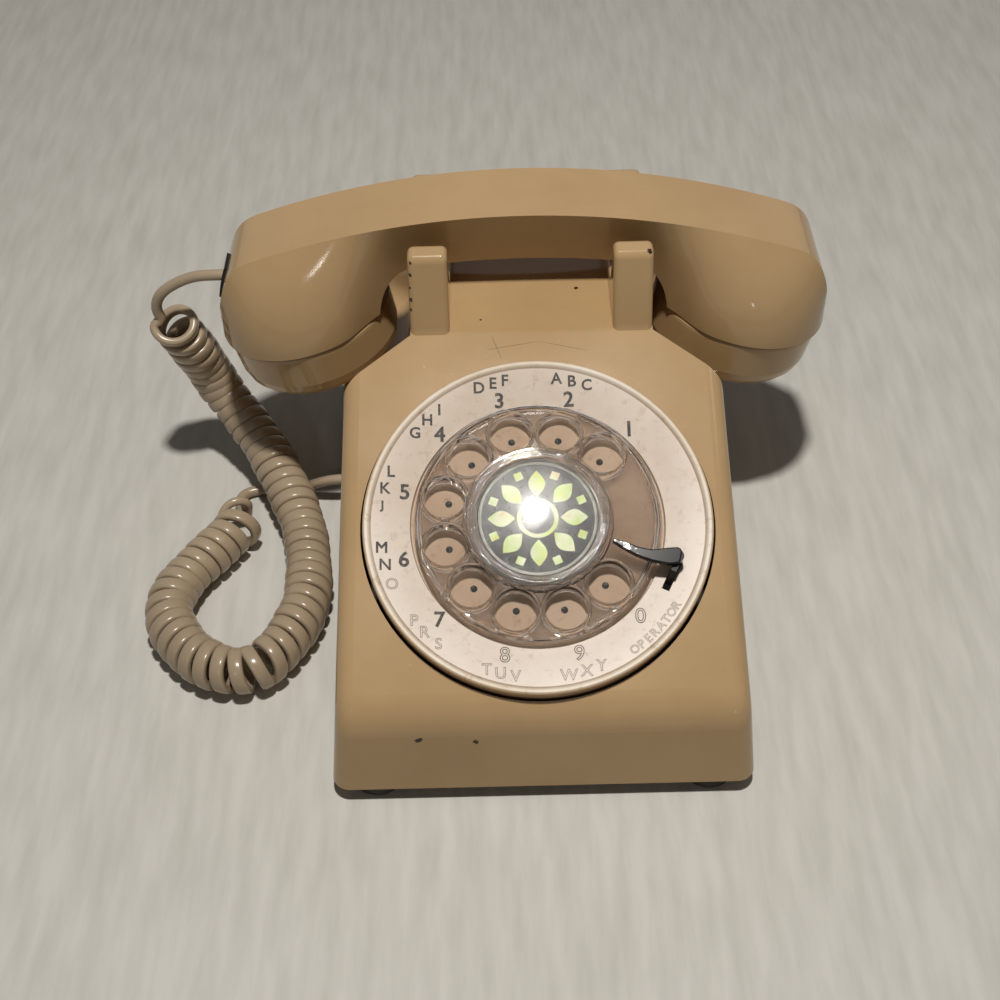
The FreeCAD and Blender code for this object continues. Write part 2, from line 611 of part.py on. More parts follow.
# centre of the wheel: metal disc, card, clear dome
add("card_holder", on_dial(revolve([(0, 5.0), (20.0, 5.0), (20.0, 6.2), (0, 6.2)])))
add("centre_card", on_dial(revolve([(0, 6.2), (CARD_R, 6.2), (CARD_R, 6.6), (0, 6.6)])))
add("card_cover", on_dial(revolve([(20.0, 5.0), (22.85, 5.0), (22.85, 8.4), (22.3, 9.2), (21.0, 9.5), (19.8, 8.9), (16.5, 9.6),
                                   (11.0, 10.3), (5.5, 10.7), (0, 10.8), (0, 9.8), (5.5, 9.7), (11.0, 9.3), (16.0, 8.6),
                                   (18.9, 7.8), (20.0, 7.0)])))


def make_stop():
    (x0, y0), (x1, y1) = STOP_SLOT
    a = math.degrees(math.atan2(y1 - y0, x1 - x0))
    leg = Part.makeBox(9.8, 1.8, 21.0, V(0.2, -0.9, -14.0))
    leg = leg.cut(prism([(4.6, -2, 9.0), (12, -2, 9.0), (12, -2, 1.5), (8.6, -2, 0.5)], (0, 4, 0)))
    leg.Placement = FreeCAD.Placement(V(x0, y0, 0), FreeCAD.Rotation(V(0, 0, 1), a))
    knee = (43.4, -13.9)
    outline = [(45.4, -11.2), (40.6, -11.4), (35.6, -11.9), (31.0, -10.8), (27.2, -8.9), (23.6, -7.9), (23.2, -8.9), (26.2, -11.1),
               (30.6, -13.8), (35.4, -15.7), (40.6, -16.9), (44.0, -16.6)]
    w = rounded_wire(outline, [1.6, 6, 8, 8, 6, 0.5, 0.5, 6, 8, 8, 4, 1.6], lambda p: V(p[0], p[1], 7.2))
    arm = Part.Face(w).extrude(V(0, 0, 1.9))
    arm = try_fillet(arm, 0.5, lambda e: all(abs(v.Point.z - 9.1) < 1e-3 for v in e.Vertexes))
    k = cyl(2.2, (knee[0], knee[1], 5.4), (0, 0, 1), 2.6)
    return fuse([leg, arm, k])


FRAME_R = 37.0
FRAME_TOP = -2.0
FRAME_T = 1.6
PIV = -26.0                # rear plate of the mechanism
STACK_POS = at(15.0, 225)


def make_dial_frame():
    plate = cyl(FRAME_R, (0, 0, FRAME_TOP - FRAME_T), (0, 0, 1), FRAME_T)
    rear = rounded_xy([(-39, -31), (-6, -31), (24, -24), (32, 0), (24, 24), (-20, 24), (-39, -10)], [5] * 7, PIV - FRAME_T, PIV)
    posts = [cyl(2.2, at(27.0, a, PIV), (0, 0, 1), FRAME_TOP - FRAME_T - PIV) for a in POSTS]
    lug = []
    for a in PLATE_SCREWS:
        lug.append(tube(2.6, 1.1, at(34.0, a, FRAME_TOP - FRAME_T - 2.4), (0, 0, 1), 2.4))
    lug.append(cyl(3.5, (GOV_C[0], GOV_C[1], FRAME_TOP - FRAME_T), (0, 0, 1), FRAME_T))
    s = fuse([plate, rear] + posts + lug)
    s = s.cut(cyl(SHAFT_R + RUN, (0, 0, PIV - 4), (0, 0, 1), 40))
    for a in PLATE_SCREWS:
        s = s.cut(cyl(1.1, at(34.0, a, FRAME_TOP - FRAME_T - 4), (0, 0, 1), 10))
    # wing for the finger stop and ears for the brackets
    wing = rounded_xy([(28, -28), (47, -28), (49, -8), (34, -8)], [3] * 4, FRAME_TOP - FRAME_T - 3.2, FRAME_TOP - FRAME_T)
    wing = wing.cut(cyl(FRAME_R - 6, (0, 0, -20), (0, 0, 1), 30))
    ears = [box(s0 * 36.0 if s0 > 0 else -51.0, 51.0 if s0 > 0 else -36.0, -6, 6, FRAME_TOP - FRAME_T - 3.2,
                FRAME_TOP - FRAME_T) for s0 in (-1, 1)]
    ears = [e.cut(cyl(30, (0, 0, -20), (0, 0, 1), 30)) for e in ears]
    s = fuse([s, wing] + ears)
    for (p, d) in ((PIN_C, 1.2), (GOV_C, 0.8)):
        s = s.cut(cyl(d + RUN, (p[0], p[1], FRAME_TOP - 8), (0, 0, 1), 12))
        s = s.cut(cyl(d + RUN, (p[0], p[1], PIV - 4), (0, 0, 1), 8))
    (x0, y0), (x1, y1) = STOP_SLOT
    a = math.degrees(math.atan2(y1 - y0, x1 - x0))
    slot = Part.makeBox(9.8, 1.8, 30.0, V(0.2, -0.9, -25.0))
    slot.Placement = FreeCAD.Placement(V(x0, y0, 0), FreeCAD.Rotation(V(0, 0, 1), a))
    s = s.cut(slot)
    for s0 in (-1, 1):
        s = s.cut(cyl(1.6, (s0 * 46.0, 0, -12), (0, 0, 1), 14))
    return s


def gear(n, m, w0, w1, bore, c, phase, slack=0.0, addendum=0.62, dedendum=0.95):
    # straight sided teeth, tooth k centred on phase + k * step
    rp = n * m / 2.0
    ra, rd = rp + addendum * m, rp - dedendum * m
    step = 2 * math.pi / n
    half = step / 4.0 - slack / rp
    pts = []
    for k in range(n):
        a = phase + k * step
        for r, h in ((rd, 1.45), (ra, 0.48)):
            pts.append((r, a - half * h))
        for r, h in ((ra, 0.48), (rd, 1.45)):
            pts.append((r, a + half * h))
    s = prism_xy([(r * math.cos(a), r * math.sin(a)) for r, a in pts], w0, w1)
    if bore > 0:
        s = s.cut(cyl(bore, (0, 0, w0 - 1), (0, 0, 1), w1 - w0 + 2))
    s.translate(V(c[0], c[1], 0))
    return s


# gear train: wheel shaft 60 teeth, pinion 12; pinion shaft 40, governor 10
M1, M2 = 0.8, 0.6
N_MAIN, N_PIN, N_SPUR, N_GOV = 60, 12, 40, 10
PIN_DIR = 240.0
GOV_DIR = 165.0
PIN_D = (N_MAIN + N_PIN) * M1 / 2.0 + 0.10
GOV_D = (N_SPUR + N_GOV) * M2 / 2.0 + 0.10
PIN_C = at(PIN_D, PIN_DIR)
GOV_C = (PIN_C[0] + GOV_D * math.cos(math.radians(GOV_DIR)), PIN_C[1] + GOV_D * math.sin(math.radians(GOV_DIR)), 0)
POSTS = (20.0, 75.0, 287.0, 320.0)

a_pin = math.radians(PIN_DIR)
a_gov = math.radians(GOV_DIR)
W_MAIN, W_SPUR = (-9.4, -7.8), (-13.6, -12.4)
main_gear = gear(N_MAIN, M1, W_MAIN[0], W_MAIN[1], 0, (0, 0), a_pin + math.pi / N_MAIN, 0.16)
for k in range(5):
    main_gear = main_gear.cut(cyl(4.4, at(13.5, 72 * k + 20, W_MAIN[0] - 1), (0, 0, 1), 4))
main_gear = main_gear.cut(cyl(SHAFT_R + 2.0, (0, 0, W_MAIN[0] - 1), (0, 0, 1), 4))
add("main_gear", on_dial(main_gear))
shaft = fuse([cyl(SHAFT_R, (0, 0, PIV - 3.0), (0, 0, 1), 5.0 - (PIV - 3.0)), cyl(SHAFT_R + 2.0, (0, 0, W_MAIN[0] - 2.0), (0, 0, 1), 5.4),
              cyl(4.8, (0, 0, -1.6), (0, 0, 1), 3.5)])
add("main_shaft", on_dial(shaft))
pinion = gear(N_PIN, M1, W_MAIN[0] - 1.0, W_MAIN[1] + 0.6, 0, (0, 0), a_pin + math.pi, 0.16)
pinion.translate(V(PIN_C[0], PIN_C[1], 0))
pinion = fuse([pinion, cyl(1.2, (PIN_C[0], PIN_C[1], PIV - 1.5), (0, 0, 1), FRAME_TOP - 0.3 - PIV + 1.0),
               cyl(3.2, (PIN_C[0], PIN_C[1], W_MAIN[1] + 0.6), (0, 0, 1), 1.2)])
add("pulse_pinion", on_dial(pinion))
spur = gear(N_SPUR, M2, W_SPUR[0], W_SPUR[1], 1.2, (0, 0), a_gov + math.pi / N_SPUR, 0.14)
spur.translate(V(PIN_C[0], PIN_C[1], 0))
add("governor_gear", on_dial(spur))
# cam with two lobes on the pinion's shaft opens the pulse contacts
cam_pts = []
for k in range(36):
    t = 2 * math.pi * k / 36
    r = 5.0 + 1.4 * math.cos(2 * t)
    cam_pts.append((PIN_C[0] + r * math.cos(t), PIN_C[1] + r * math.sin(t)))
cam = prism_xy(cam_pts, -19.2, -17.4).cut(cyl(1.2, (PIN_C[0], PIN_C[1], -22), (0, 0, 1), 8))
add("pulse_cam", on_dial(cam))
gov = gear(N_GOV, M2, W_SPUR[0] - 0.8, W_SPUR[1] + 0.8, 0, (0, 0), a_gov + math.pi, 0.14)
gov.translate(V(GOV_C[0], GOV_C[1], 0))
gov = fuse([gov, cyl(0.8, (GOV_C[0], GOV_C[1], PIV - 1.5), (0, 0, 1), FRAME_TOP - 0.3 - PIV + 1.0)])
add("governor_shaft", on_dial(gov))
fly = []
for k in (-1, 1):
    wgt = tube(6.4, 3.4, (0, 0, -23.0), (0, 0, 1), 3.4)
    wgt = wgt.common(box(0.9 if k > 0 else -7, 7 if k > 0 else -0.9, -7, 7, -24, -19))
    fly.append(wgt)
arm = box(-3.7, 3.7, -1.2, 1.2, -23.0, -19.6).cut(cyl(0.8, (0, 0, -24), (0, 0, 1), 6))
fly = fuse(fly + [arm])
fly.translate(V(GOV_C[0], GOV_C[1], 0))
add("governor_weights", on_dial(fly))
drum = tube(8.2, 7.2, (GOV_C[0], GOV_C[1], PIV), (0, 0, 1), 7.0)
add("governor_drum", on_dial(drum))
add("dial_frame", on_dial(make_dial_frame()))
add("finger_stop", on_dial(make_stop()))
plate_screws = on_dial(group([fuse([cyl(1.1, at(34.0, a, -6.0), (0, 0, 1), 5.3), cyl(2.0, at(34.0, a, -7.2), (0, 0, 1), 1.2)])
                              for a in PLATE_SCREWS]))


def spiral(r0, pitch, turns, wire, height, n_per=12):
    # flat spiral strip as a closed outline
    pts_a, pts_b = [], []
    n = int(turns * n_per)
    for k in range(n + 1):
        t = 2 * math.pi * k / n_per
        r = r0 + pitch * k / n_per
        pts_a.append((r * math.cos(t), r * math.sin(t)))
        pts_b.append(((r + wire) * math.cos(t), (r + wire) * math.sin(t)))
    return prism_xy(pts_a + list(reversed(pts_b)), 0, height)


rs = spiral(6.2, 1.6, 5.0, 0.5, 2.6, 16)
rs.translate(V(0, 0, FRAME_TOP - FRAME_T - 2.6))
add("return_spring", on_dial(rs))


def make_pulse_contacts():
    # two leaf springs and their insulators on a block beside the cam
    a = math.radians(PIN_DIR - 90.0)
    u = (math.cos(a), math.sin(a))
    v = (-u[1], u[0])
    parts, ins = [], []

    def q(s, t):
        return (PIN_C[0] + u[0] * s + v[0] * t, PIN_C[1] + u[1] * s + v[1] * t)

    def bar(s0, s1, t0, t1, z0, z1):
        return prism_xy([q(s0, t0), q(s1, t0), q(s1, t1), q(s0, t1)], z0, z1)
    for k, t in enumerate((-7.6, -9.8)):
        parts.append(bar(-3.0, 21.0, t, t - 0.4, -20.3, -16.5))
    for t0, t1 in ((-6.1, -7.6), (-8.0, -9.8), (-10.2, -11.4)):
        ins.append(bar(13.0, 20.0, t0, t1, PIV, -15.5))
    return group(parts), group(ins), [q(0.0, -8.0), q(0.0, -9.8)]


pc, pi_, tips = make_pulse_contacts()
pts = []
for k in range(10):
    t = 2 * math.pi * k / 10
    pts.append((1.0 * math.cos(t), 1.0 * math.sin(t)))
add("pulse_springs", on_dial(pc))
add("pulse_block", on_dial(pi_))

# base plate with turned-up edge, feet, screws
def base_outline(t, z=BASE_Z):
    y0, y1 = FRONT_Y + 0.16 * (z - FLOOR_GAP) + WALL + t, REAR_Y - 0.28 * (z - FLOOR_GAP) - WALL - t
    return [(-side_x(y0, z, WALL + t), y0), (side_x(y0, z, WALL + t), y0), (side_x(y1, z, WALL + t), y1),
            (-side_x(y1, z, WALL + t), y1)]


FEET = [(-54.0, -100.2), (54.0, -100.2), (-48.0, 96.0), (48.0, 96.0)]


def make_base():
    plate = rounded_xy(base_outline(0.6), [6.0] * 4, BASE_Z, BASE_TOP)
    top = BASE_TOP + 5.0
    rim = rounded_xy(base_outline(0.6, top), [5.6] * 4, BASE_TOP, top)
    rim = rim.cut(rounded_xy(base_outline(1.8, top), [4.4] * 4, BASE_TOP, top))
    s = plate.fuse(rim)
    for x, y in FEET:
        s = s.cut(cyl(3.0, (x, y, 0), (0, 0, 1), 20))
    for x, y in BOSSES:
        s = s.cut(cyl(4.6, (x, y, BASE_TOP), (0, 0, 1), 10)).cut(cyl(1.9, (x, y, 0), (0, 0, 1), 20))
    nx = side_x(NOTCH_Y, FLOOR_GAP)
    s = s.cut(box(-nx - 2, -nx + 10, NOTCH_Y - 5, NOTCH_Y + 5, BASE_Z - 1, BASE_Z + 12))
    s = s.cut(box(-12.5, 12.5, REAR_Y - 10, REAR_Y + 2, BASE_TOP, BASE_Z + 12))
    s = s.cut(cyl(2.0 + RUN, (58.0, 50.0, 0), (0, 0, 1), 30))
    for k in range(5):
        s = s.cut(rbox(-22.0, 22.0, -30.0 + 7.0 * k, -27.0 + 7.0 * k, 0, 20, 1.4))
    return s.removeSplitter()


add("base_plate", make_base())
feet = []
for x, y in FEET:
    f = revolve([(0, 0), (8.6, 0), (9.2, 0.8), (9.2, FLOOR_GAP), (6.6, FLOOR_GAP), (6.6, BASE_Z), (3.0, BASE_Z), (3.0, BASE_TOP), (4.4, BASE_TOP), (3.4, BASE_TOP + 2.6), (0, BASE_TOP + 2.6)], (x, y, 0))
    feet.append(f)
add("feet", group(feet))
scr = []
for x, y in BOSSES:
    scr.append(fuse([cyl(3.2, (x, y, BASE_Z - 2.0), (0, 0, 1), 2.0), cyl(1.7, (x, y, BASE_Z), (0, 0, 1), 17.0)])
               .cut(box(x - 4, x + 4, y - 0.4, y + 0.4, BASE_Z - 2.5, BASE_Z - 1.1)))
add("housing_screws", group(scr))


# brackets that carry the dial
def make_dial_brackets():
    out = []
    for s0 in (-1, 1):
        x0, x1 = (36.5, 51.0) if s0 > 0 else (-51.0, -36.5)
        tab = box(x0, x1, -8, 8, FRAME_TOP - FRAME_T - 3.2 - 1.6, FRAME_TOP - FRAME_T - 3.2)
        tab = tab.cut(cyl(1.6, (s0 * 46.0, 0, -14), (0, 0, 1), 14))
        tab = on_dial(tab)
        p = on_dial(Part.Vertex(V(s0 * 49.0, 0, FRAME_TOP - FRAME_T - 4.0))).Point
        xw = (49.4, 51.0) if s0 > 0 else (-51.0, -49.4)
        leg = prism_yz([(p.y - 16, BASE_TOP), (p.y + 12, BASE_TOP), (p.y + 7.2, p.z + 3.2), (p.y - 7.2, p.z - 3.7)], xw[0], xw[1])
        foot = box(min(xw[0], s0 * 38.0), max(xw[1], s0 * 38.0), p.y - 16, p.y + 12, BASE_TOP, BASE_TOP + 1.6)
        foot = foot.cut(cyl(2.0, (s0 * 43.5, p.y - 2, BASE_TOP - 1), (0, 0, 1), 6))
        out.append(fuse([tab, leg, foot]))
    return group(out)


add("dial_brackets", make_dial_brackets())
DIAL_BRACKET_Y = DIAL_Y - SIN * (FRAME_TOP - FRAME_T - 4.0) - 2
bs, rv = [], []
for s0 in (-1, 1):
    bs.append(fuse([cyl(1.6, (s0 * 46.0, 0, -10.2), (0, 0, 1), 6.6), cyl(2.6, (s0 * 46.0, 0, FRAME_TOP - FRAME_T), (0, 0, 1), 1.6)]))
add("dial_screws", group(plate_screws.Solids + on_dial(group(bs)).Solids))
for s0 in (-1, 1):
    y = DIAL_Y + 1.73 - 2
    rv.append(fuse([cyl(3.2, (s0 * 43.5, DIAL_BRACKET_Y, BASE_TOP + 1.6), (0, 0, 1), 1.2), cyl(2.0, (s0 * 43.5, DIAL_BRACKET_Y, BASE_TOP), (0, 0, 1), 1.6)]))
rivets = list(rv)


# hook switch under the cradle
PIVOT_Y, PIVOT_Z = 26.0, 79.0
plungers = []
for side, name in ((-1, "hook_plunger_left"), (1, "hook_plunger_right")):
    p = fuse([cyl(PLUNGER_R, (side * PLUNGER_X, HS_Y, 88.0), (0, 0, 1), SEAT_Z - 88.0),
              cyl(PLUNGER_R + 0.35, (side * PLUNGER_X, HS_Y, 86.4), (0, 0, 1), 2.2)])
    p = p.fuse(revolve([(0, 0), (PLUNGER_R, 0), (PLUNGER_R - 0.7, 0.5), (2.2, 0.9), (0, 1.1)], (side * PLUNGER_X, HS_Y, SEAT_Z)))
    add(name, p.removeSplitter())


def make_hook_bracket():
    legs = [box(-24.0, -14.0, 14.0, 15.6, BASE_TOP, 70.0), box(3.0, 13.0, 14.0, 15.6, BASE_TOP, 70.0)]
    feet_ = [box(-24.0, -14.0, 15.6, 23.0, BASE_TOP, BASE_TOP + 1.6), box(3.0, 13.0, 15.6, 23.0, BASE_TOP, BASE_TOP + 1.6)]
    cross = rounded_xz([(-36, 64), (36, 64), (36, 84), (-36, 84)], [3, 3, 3, 3], 14.0, 15.6)
    cross = cross.cut(rounded_xz([(-12, 70), (12, 70), (12, 80), (-12, 80)], [2] * 4, 13.0, 17.0))
    ears = [rounded_yz([(15.0, 72), (30.0, 72), (30.0, 83.5), (15.0, 83.5)], [0, 4, 4, 0], s0 * 26.0 - 0.8, s0 * 26.0 + 0.8)
            for s0 in (-1, 1)]
    shelf = box(-5.0, 5.0, 15.6, 36.5, 64.0, 65.6)
    s = fuse(legs + feet_ + [cross] + ears + [shelf])
    s = s.cut(cyl(1.8, (-19.0, 19.5, 0), (0, 0, 1), 30)).cut(cyl(1.8, (8.0, 19.5, 0), (0, 0, 1), 30))
    return s.cut(cyl(2.0, (-40, PIVOT_Y, PIVOT_Z), (1, 0, 0), 80))


add("hook_bracket", make_hook_bracket())
add("hook_pin", cyl(2.0, (-38.3, PIVOT_Y, PIVOT_Z), (1, 0, 0), 76.6))
lever = []
for side in (-1, 1):
    x0, x1 = (28.0, 38.0) if side > 0 else (-38.0, -28.0)
    lever.append(cyl(4.0, (x0, PIVOT_Y, PIVOT_Z), (1, 0, 0), x1 - x0))
    xa, xb = (31.0, 38.0) if side > 0 else (-38.0, -31.0)
    arm = rounded_xy([(xa, PIVOT_Y), (xb, PIVOT_Y), (xb, 53.6), (xa, 53.6)], [0, 0, 2.5, 2.5], 81.0, 83.0)
    lever.append(arm)
    lever.append(cyl(1.6, (side * PLUNGER_X, HS_Y, 83.0), (0, 0, 1), 3.1))
lever.append(box(-38.0, 38.0, 31.4, 34.6, 81.0, 83.0))
lever = fuse(lever).cut(cyl(2.0 + RUN, (-50, PIVOT_Y, PIVOT_Z), (1, 0, 0), 100))
add("hook_lever", lever)
add("hook_spring", tube(2.6, 1.9, (0, 33.0, 65.6), (0, 0, 1), 15.0))
blk, lvs = [], []
for k in range(4):
    blk.append(box(-22.0, -14.0, 15.6, 23.0, 66.0 + 3.0 * k, 68.4 + 3.0 * k))
    if k < 3:
        lvs.append(box(-20.0, -16.0, 15.6, 36.8 if k == 2 else 33.0, 68.4 + 3.0 * k, 69.0 + 3.0 * k))
add("hook_contact_block", group(blk))
add("hook_contact_leaves", group(lvs))
rivets += [fuse([cyl(3.0, (x, 19.5, BASE_TOP + 1.6), (0, 0, 1), 1.2), cyl(1.8, (x, 19.5, BASE_TOP), (0, 0, 1), 1.6)])
                          for x in (-19.0, 8.0)]
add("base_rivets", group(rivets))

# ringer: two gongs on posts, coil and magnet beside them, hammer between the rims
RING_X, GONG_A_Y, GONG_B_Y = 40.0, 22.65, 75.65
GONG_A_R, GONG_B_R = 23.0, 21.5
ARM_X, ARM_Y = 20.0, 49.9
frame_z = BASE_TOP + 1.6
rf = rbox(-3.0, 62.0, 26.0, 84.0, BASE_TOP, frame_z, 4.0)
rf = rf.cut(rbox(26.0, 54.0, 33.0, 66.0, BASE_TOP - 1, frame_z + 1, 4.0))
rf = rf.fuse(rbox(33.0, 47.0, 16.0, 34.0, BASE_TOP, frame_z, 3.0))
rf = rf.fuse(cyl(3.4, (ARM_X, ARM_Y, frame_z), (0, 0, 1), 14.4 - frame_z)).removeSplitter()
rf = rf.cut(cyl(1.0, (ARM_X, ARM_Y, frame_z - 0.5), (0, 0, 1), 10))
rf = rf.cut(cyl(2.0 + RUN, (58.0, 50.0, 0), (0, 0, 1), 30))
add("ringer_frame", rf)


def gong(x, y, r):
    top, rim, w = 40.0, 22.0, 1.2
    prof = [(2.05, top), (r - 9.0, top), (r - 4.0, top - 1.8), (r - 1.2, top - 6.0), (r, rim + 4.0), (r, rim),
            (r - w, rim), (r - w, rim + 4.0), (r - w - 1.2, top - 6.4), (r - w - 3.6, top - 2.8), (r - 9.4, top - w), (2.05, top - w)]
    return revolve(prof, (x, y, 0))


add("gong_front", gong(RING_X, GONG_A_Y, GONG_A_R))
add("gong_rear", gong(RING_X, GONG_B_Y, GONG_B_R))
posts, nuts = [], []
for y in (GONG_A_Y, GONG_B_Y):
    posts.append(fuse([cyl(4.0, (RING_X, y, frame_z), (0, 0, 1), 38.8 - frame_z), cyl(2.05, (RING_X, y, 38.8), (0, 0, 1), 1.2)]))
    nuts.append(cyl(4.4, (RING_X, y, 40.0), (0, 0, 1), 2.4).cut(box(RING_X - 5, RING_X + 5, y - 0.5, y + 0.5, 41.4, 43)))
add("gong_posts", group(posts + nuts))
COIL_X, COIL_Z = 6.0, 20.0
core = fuse([cyl(3.0, (COIL_X, 30.0, COIL_Z), (0, 1, 0), 39.8), box(3.0, 17.4, 30.0, 31.8, 15.0, 25.0), box(3.0, 17.4, 68.0, 69.8, 15.0, 25.0),
             box(14.4, 17.4, 31.8, 40.0, 15.0, 20.0), box(14.4, 17.4, 59.8, 68.0, 15.0, 20.0)])
add("ringer_core", core)
bob = fuse([box(-3.8, 14.2, 31.8, 33.4, frame_z, 30.0), box(-3.8, 14.2, 66.4, 68.0, frame_z, 30.0),
            tube(4.2, 3.0, (COIL_X, 31.8, COIL_Z), (0, 1, 0), 36.2)])
bob = bob.cut(cyl(3.0, (COIL_X, 20, COIL_Z), (0, 1, 0), 60))
add("ringer_bobbin", bob)
add("ringer_winding", tube(8.0, 4.2, (COIL_X, 33.4, COIL_Z), (0, 1, 0), 33.0))
add("ringer_magnet", rbox(-1.0, 12.0, 31.8, 68.0, 30.0, 34.0, 1.0))
strap = rbox(2.0, 23.4, ARM_Y - 4.0, ARM_Y + 4.0, 34.0, 35.2, 2.0).cut(cyl(1.0, (ARM_X, ARM_Y, 30), (0, 0, 1), 10))
add("ringer_strap", fuse([strap, cyl(1.0, (ARM_X, ARM_Y, frame_z), (0, 0, 1), 35.2 - frame_z)]))
arma = box(ARM_X - 1.0, ARM_X + 1.2, ARM_Y - 11.0, ARM_Y + 11.0, 15.2, 19.8)
hub = cyl(2.4, (ARM_X, ARM_Y, 14.7), (0, 0, 1), 6.0)
rod = cyl(0.9, (ARM_X + 2.0, ARM_Y, 17.5), (RING_X - ARM_X - 2.0, 0, 8.5), math.hypot(RING_X - ARM_X - 2.0, 8.5))
ball = Part.makeSphere(2.4, V(RING_X, ARM_Y + 0.0, 26.0))
hammer = fuse([arma, hub, rod, ball]).cut(cyl(1.0 + RUN, (ARM_X, ARM_Y, 10), (0, 0, 1), 20))
add("ringer_hammer", hammer)
# loudness wheel under the base, its edge reached from below
VOL = (58.0, 50.0)
pts = []
for k in range(72):
    a = 2 * math.pi * k / 72
    r = 12.0 if k % 2 else 11.4
    pts.append((VOL[0] + r * math.cos(a), VOL[1] + r * math.sin(a)))
vol = fuse([prism_xy(pts, 2.4, 5.8), cyl(2.0, (VOL[0], VOL[1], 5.8), (0, 0, 1), 4.6), cyl(3.2, (VOL[0], VOL[1], 10.4), (0, 0, 1), 1.6)])
add("volume_wheel", vol)

# network: potted can with a terminal board
add("network_can", rbox(-62.0, -10.0, 26.0, 82.0, BASE_TOP, 33.0, 4.0))
board = rbox(-61.0, -11.0, 27.0, 81.0, 33.0, 35.0, 2.0)
for k in range(3):
    board = board.fuse(rbox(-58.0, -16.0, 31.0 + 18.0 * k, 41.0 + 18.0 * k, 35.0, 36.2, 1.0))
add("network_board", board.removeSplitter())
terms = []
for k in range(3):
    for j in range(5):
        x, y = -53.0 + 8.0 * j, 36.0 + 18.0 * k
        terms.append(cyl(2.4, (x, y, 36.2), (0, 0, 1), 1.8).cut(box(x - 3, x + 3, y - 0.35, y + 0.35, 37.4, 39)))
add("terminal_screws", group(terms))

# handset cord: tail at the handset, coil, tail into the housing
COIL_OUT = 6.6


def smooth_tube(points, r, step):
    # round tube through the points: circles square to a smooth route, about one per step, joined by straight walls
    c = Part.BSplineCurve()
    c.interpolate([V(*p) for p in points])
    count = max(3, int(c.length() / step))
    rings = []
    side = None
    for k in range(count + 1):
        t = c.parameterAtDistance(c.length() * k / count, c.FirstParameter) if k < count else c.LastParameter
        d = c.tangent(t)[0]
        side = V(0, 0, 1) - d * d.z if side is None else side - d * side.dot(d)
        side.normalize()
        ring = Part.Wire([Part.Circle(V(0, 0, 0), V(0, 0, 1), r).toShape()])
        ring.Placement = FreeCAD.Placement(c.value(t), FreeCAD.Rotation(side, d.cross(side), d, "ZXY"))
        rings.append(ring)
    return Part.makeLoft(rings, True, True)


TAIL_A = [(EXIT_X + 3.0, HS_Y, EXIT_Z), (EXIT_X, HS_Y, EXIT_Z), (EXIT_X - 3.0, HS_Y, EXIT_Z), (-119.6, 49.6, 92.6),
          (-127.6, 50.0, 89.0), (-133.6, 50.2, 83.9), (-136.0, 50.6, 78.6), (-136.9, 51.0, 74.6)]
COIL = [(-136.9, 51.0, 74.2), (-136.9, 52.0, 67.0), (-133.5, 56.0, 54.0), (-124.0, 61.0, 40.0), (-119.6, 59.8, 29.0),
        (-110.8, 51.8, 21.0), (-103.6, 41.0, 15.0), (-97.0, 29.0, 11.8), (-90.8, 16.0, 9.0), (-86.4, 5.0, 7.2),
        (-83.6, -8.7, 6.8), (-82.2, -22.1, 6.8), (-82.0, -33.5, 6.8), (-85.1, -44.6, 6.8), (-89.5, -53.9, 6.8),
        (-95.0, -61.2, 6.8), (-102.0, -64.3, 6.8), (-110.5, -62.5, 6.8), (-119.5, -57.0, 6.8), (-127.2, -47.4, 6.8),
        (-131.6, -37.6, 6.8), (-131.2, -29.0, 6.8), (-127.4, -19.6, 6.8), (-121.5, -11.0, 6.8), (-115.7, -1.6, 6.8),
        (-112.4, 5.5, 6.8)]
TAIL_B = [(-112.1, 6.15, 6.8), (-110.1, 10.45, 6.6), (-111.4, 17.6, 3.4), (-114.6, 23.8, 2.3), (-112.4, 29.6, 2.2), (-106.0, 31.6, 2.2),
          (-97.0, 31.4, 2.4), (-89.0, 29.4, 4.8), (-82.0, 27.6, 9.4), (-76.0, NOTCH_Y, 11.2), (-70.0, NOTCH_Y, 11.2),
          (-62.6, NOTCH_Y, 11.2)]
add("cord_tail_handset", smooth_tube(TAIL_A, CORD_R, 4.0))
add("cord_coil", smooth_tube(COIL, COIL_OUT, 10.0))
add("cord_tail_base", smooth_tube(TAIL_B, CORD_R, 4.5))
nx = side_x(NOTCH_Y, 10.0)
relief = rounded_yz([(NOTCH_Y - 4.3, BASE_TOP), (NOTCH_Y + 4.3, BASE_TOP), (NOTCH_Y + 4.3, 14.3), (NOTCH_Y - 4.3, 14.3)], [0.5, 0.5, 2.9, 2.9], -nx + 0.3, -nx + 8.0)
relief = relief.cut(cyl(CORD_R + 0.1, (-nx - 10, NOTCH_Y, 11.2), (1, 0, 0), 30))
add("cord_relief_base", relief)


# writing one STEP file per node
os.makedirs("parts", exist_ok=True)
solid_box = Part.makeCompound([NODES[n] for n in ("housing", "handset_handle", "cord_stay_handset", "transmitter_cap", "receiver_cap")]).optimalBoundingBox(True, False)
OFFSET = V(-0.5 * (solid_box.XMin + solid_box.XMax), -0.5 * (solid_box.YMin + solid_box.YMax), 0)
print("offset", round(OFFSET.x, 4), round(OFFSET.y, 4))
for name, shape in NODES.items():
    shape = shape.copy()
    shape.translate(OFFSET)
    ok = shape.isValid()
    shape.exportStep("parts/" + name + ".step")
    print(name, "ok" if ok else "INVALID", len(shape.Solids), "solids", round(shape.Volume, 1))
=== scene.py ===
# A rotary desk telephone on a pale floor, from where the photograph was taken.
import math

import bmesh
import bpy
from mathutils import Matrix, Vector


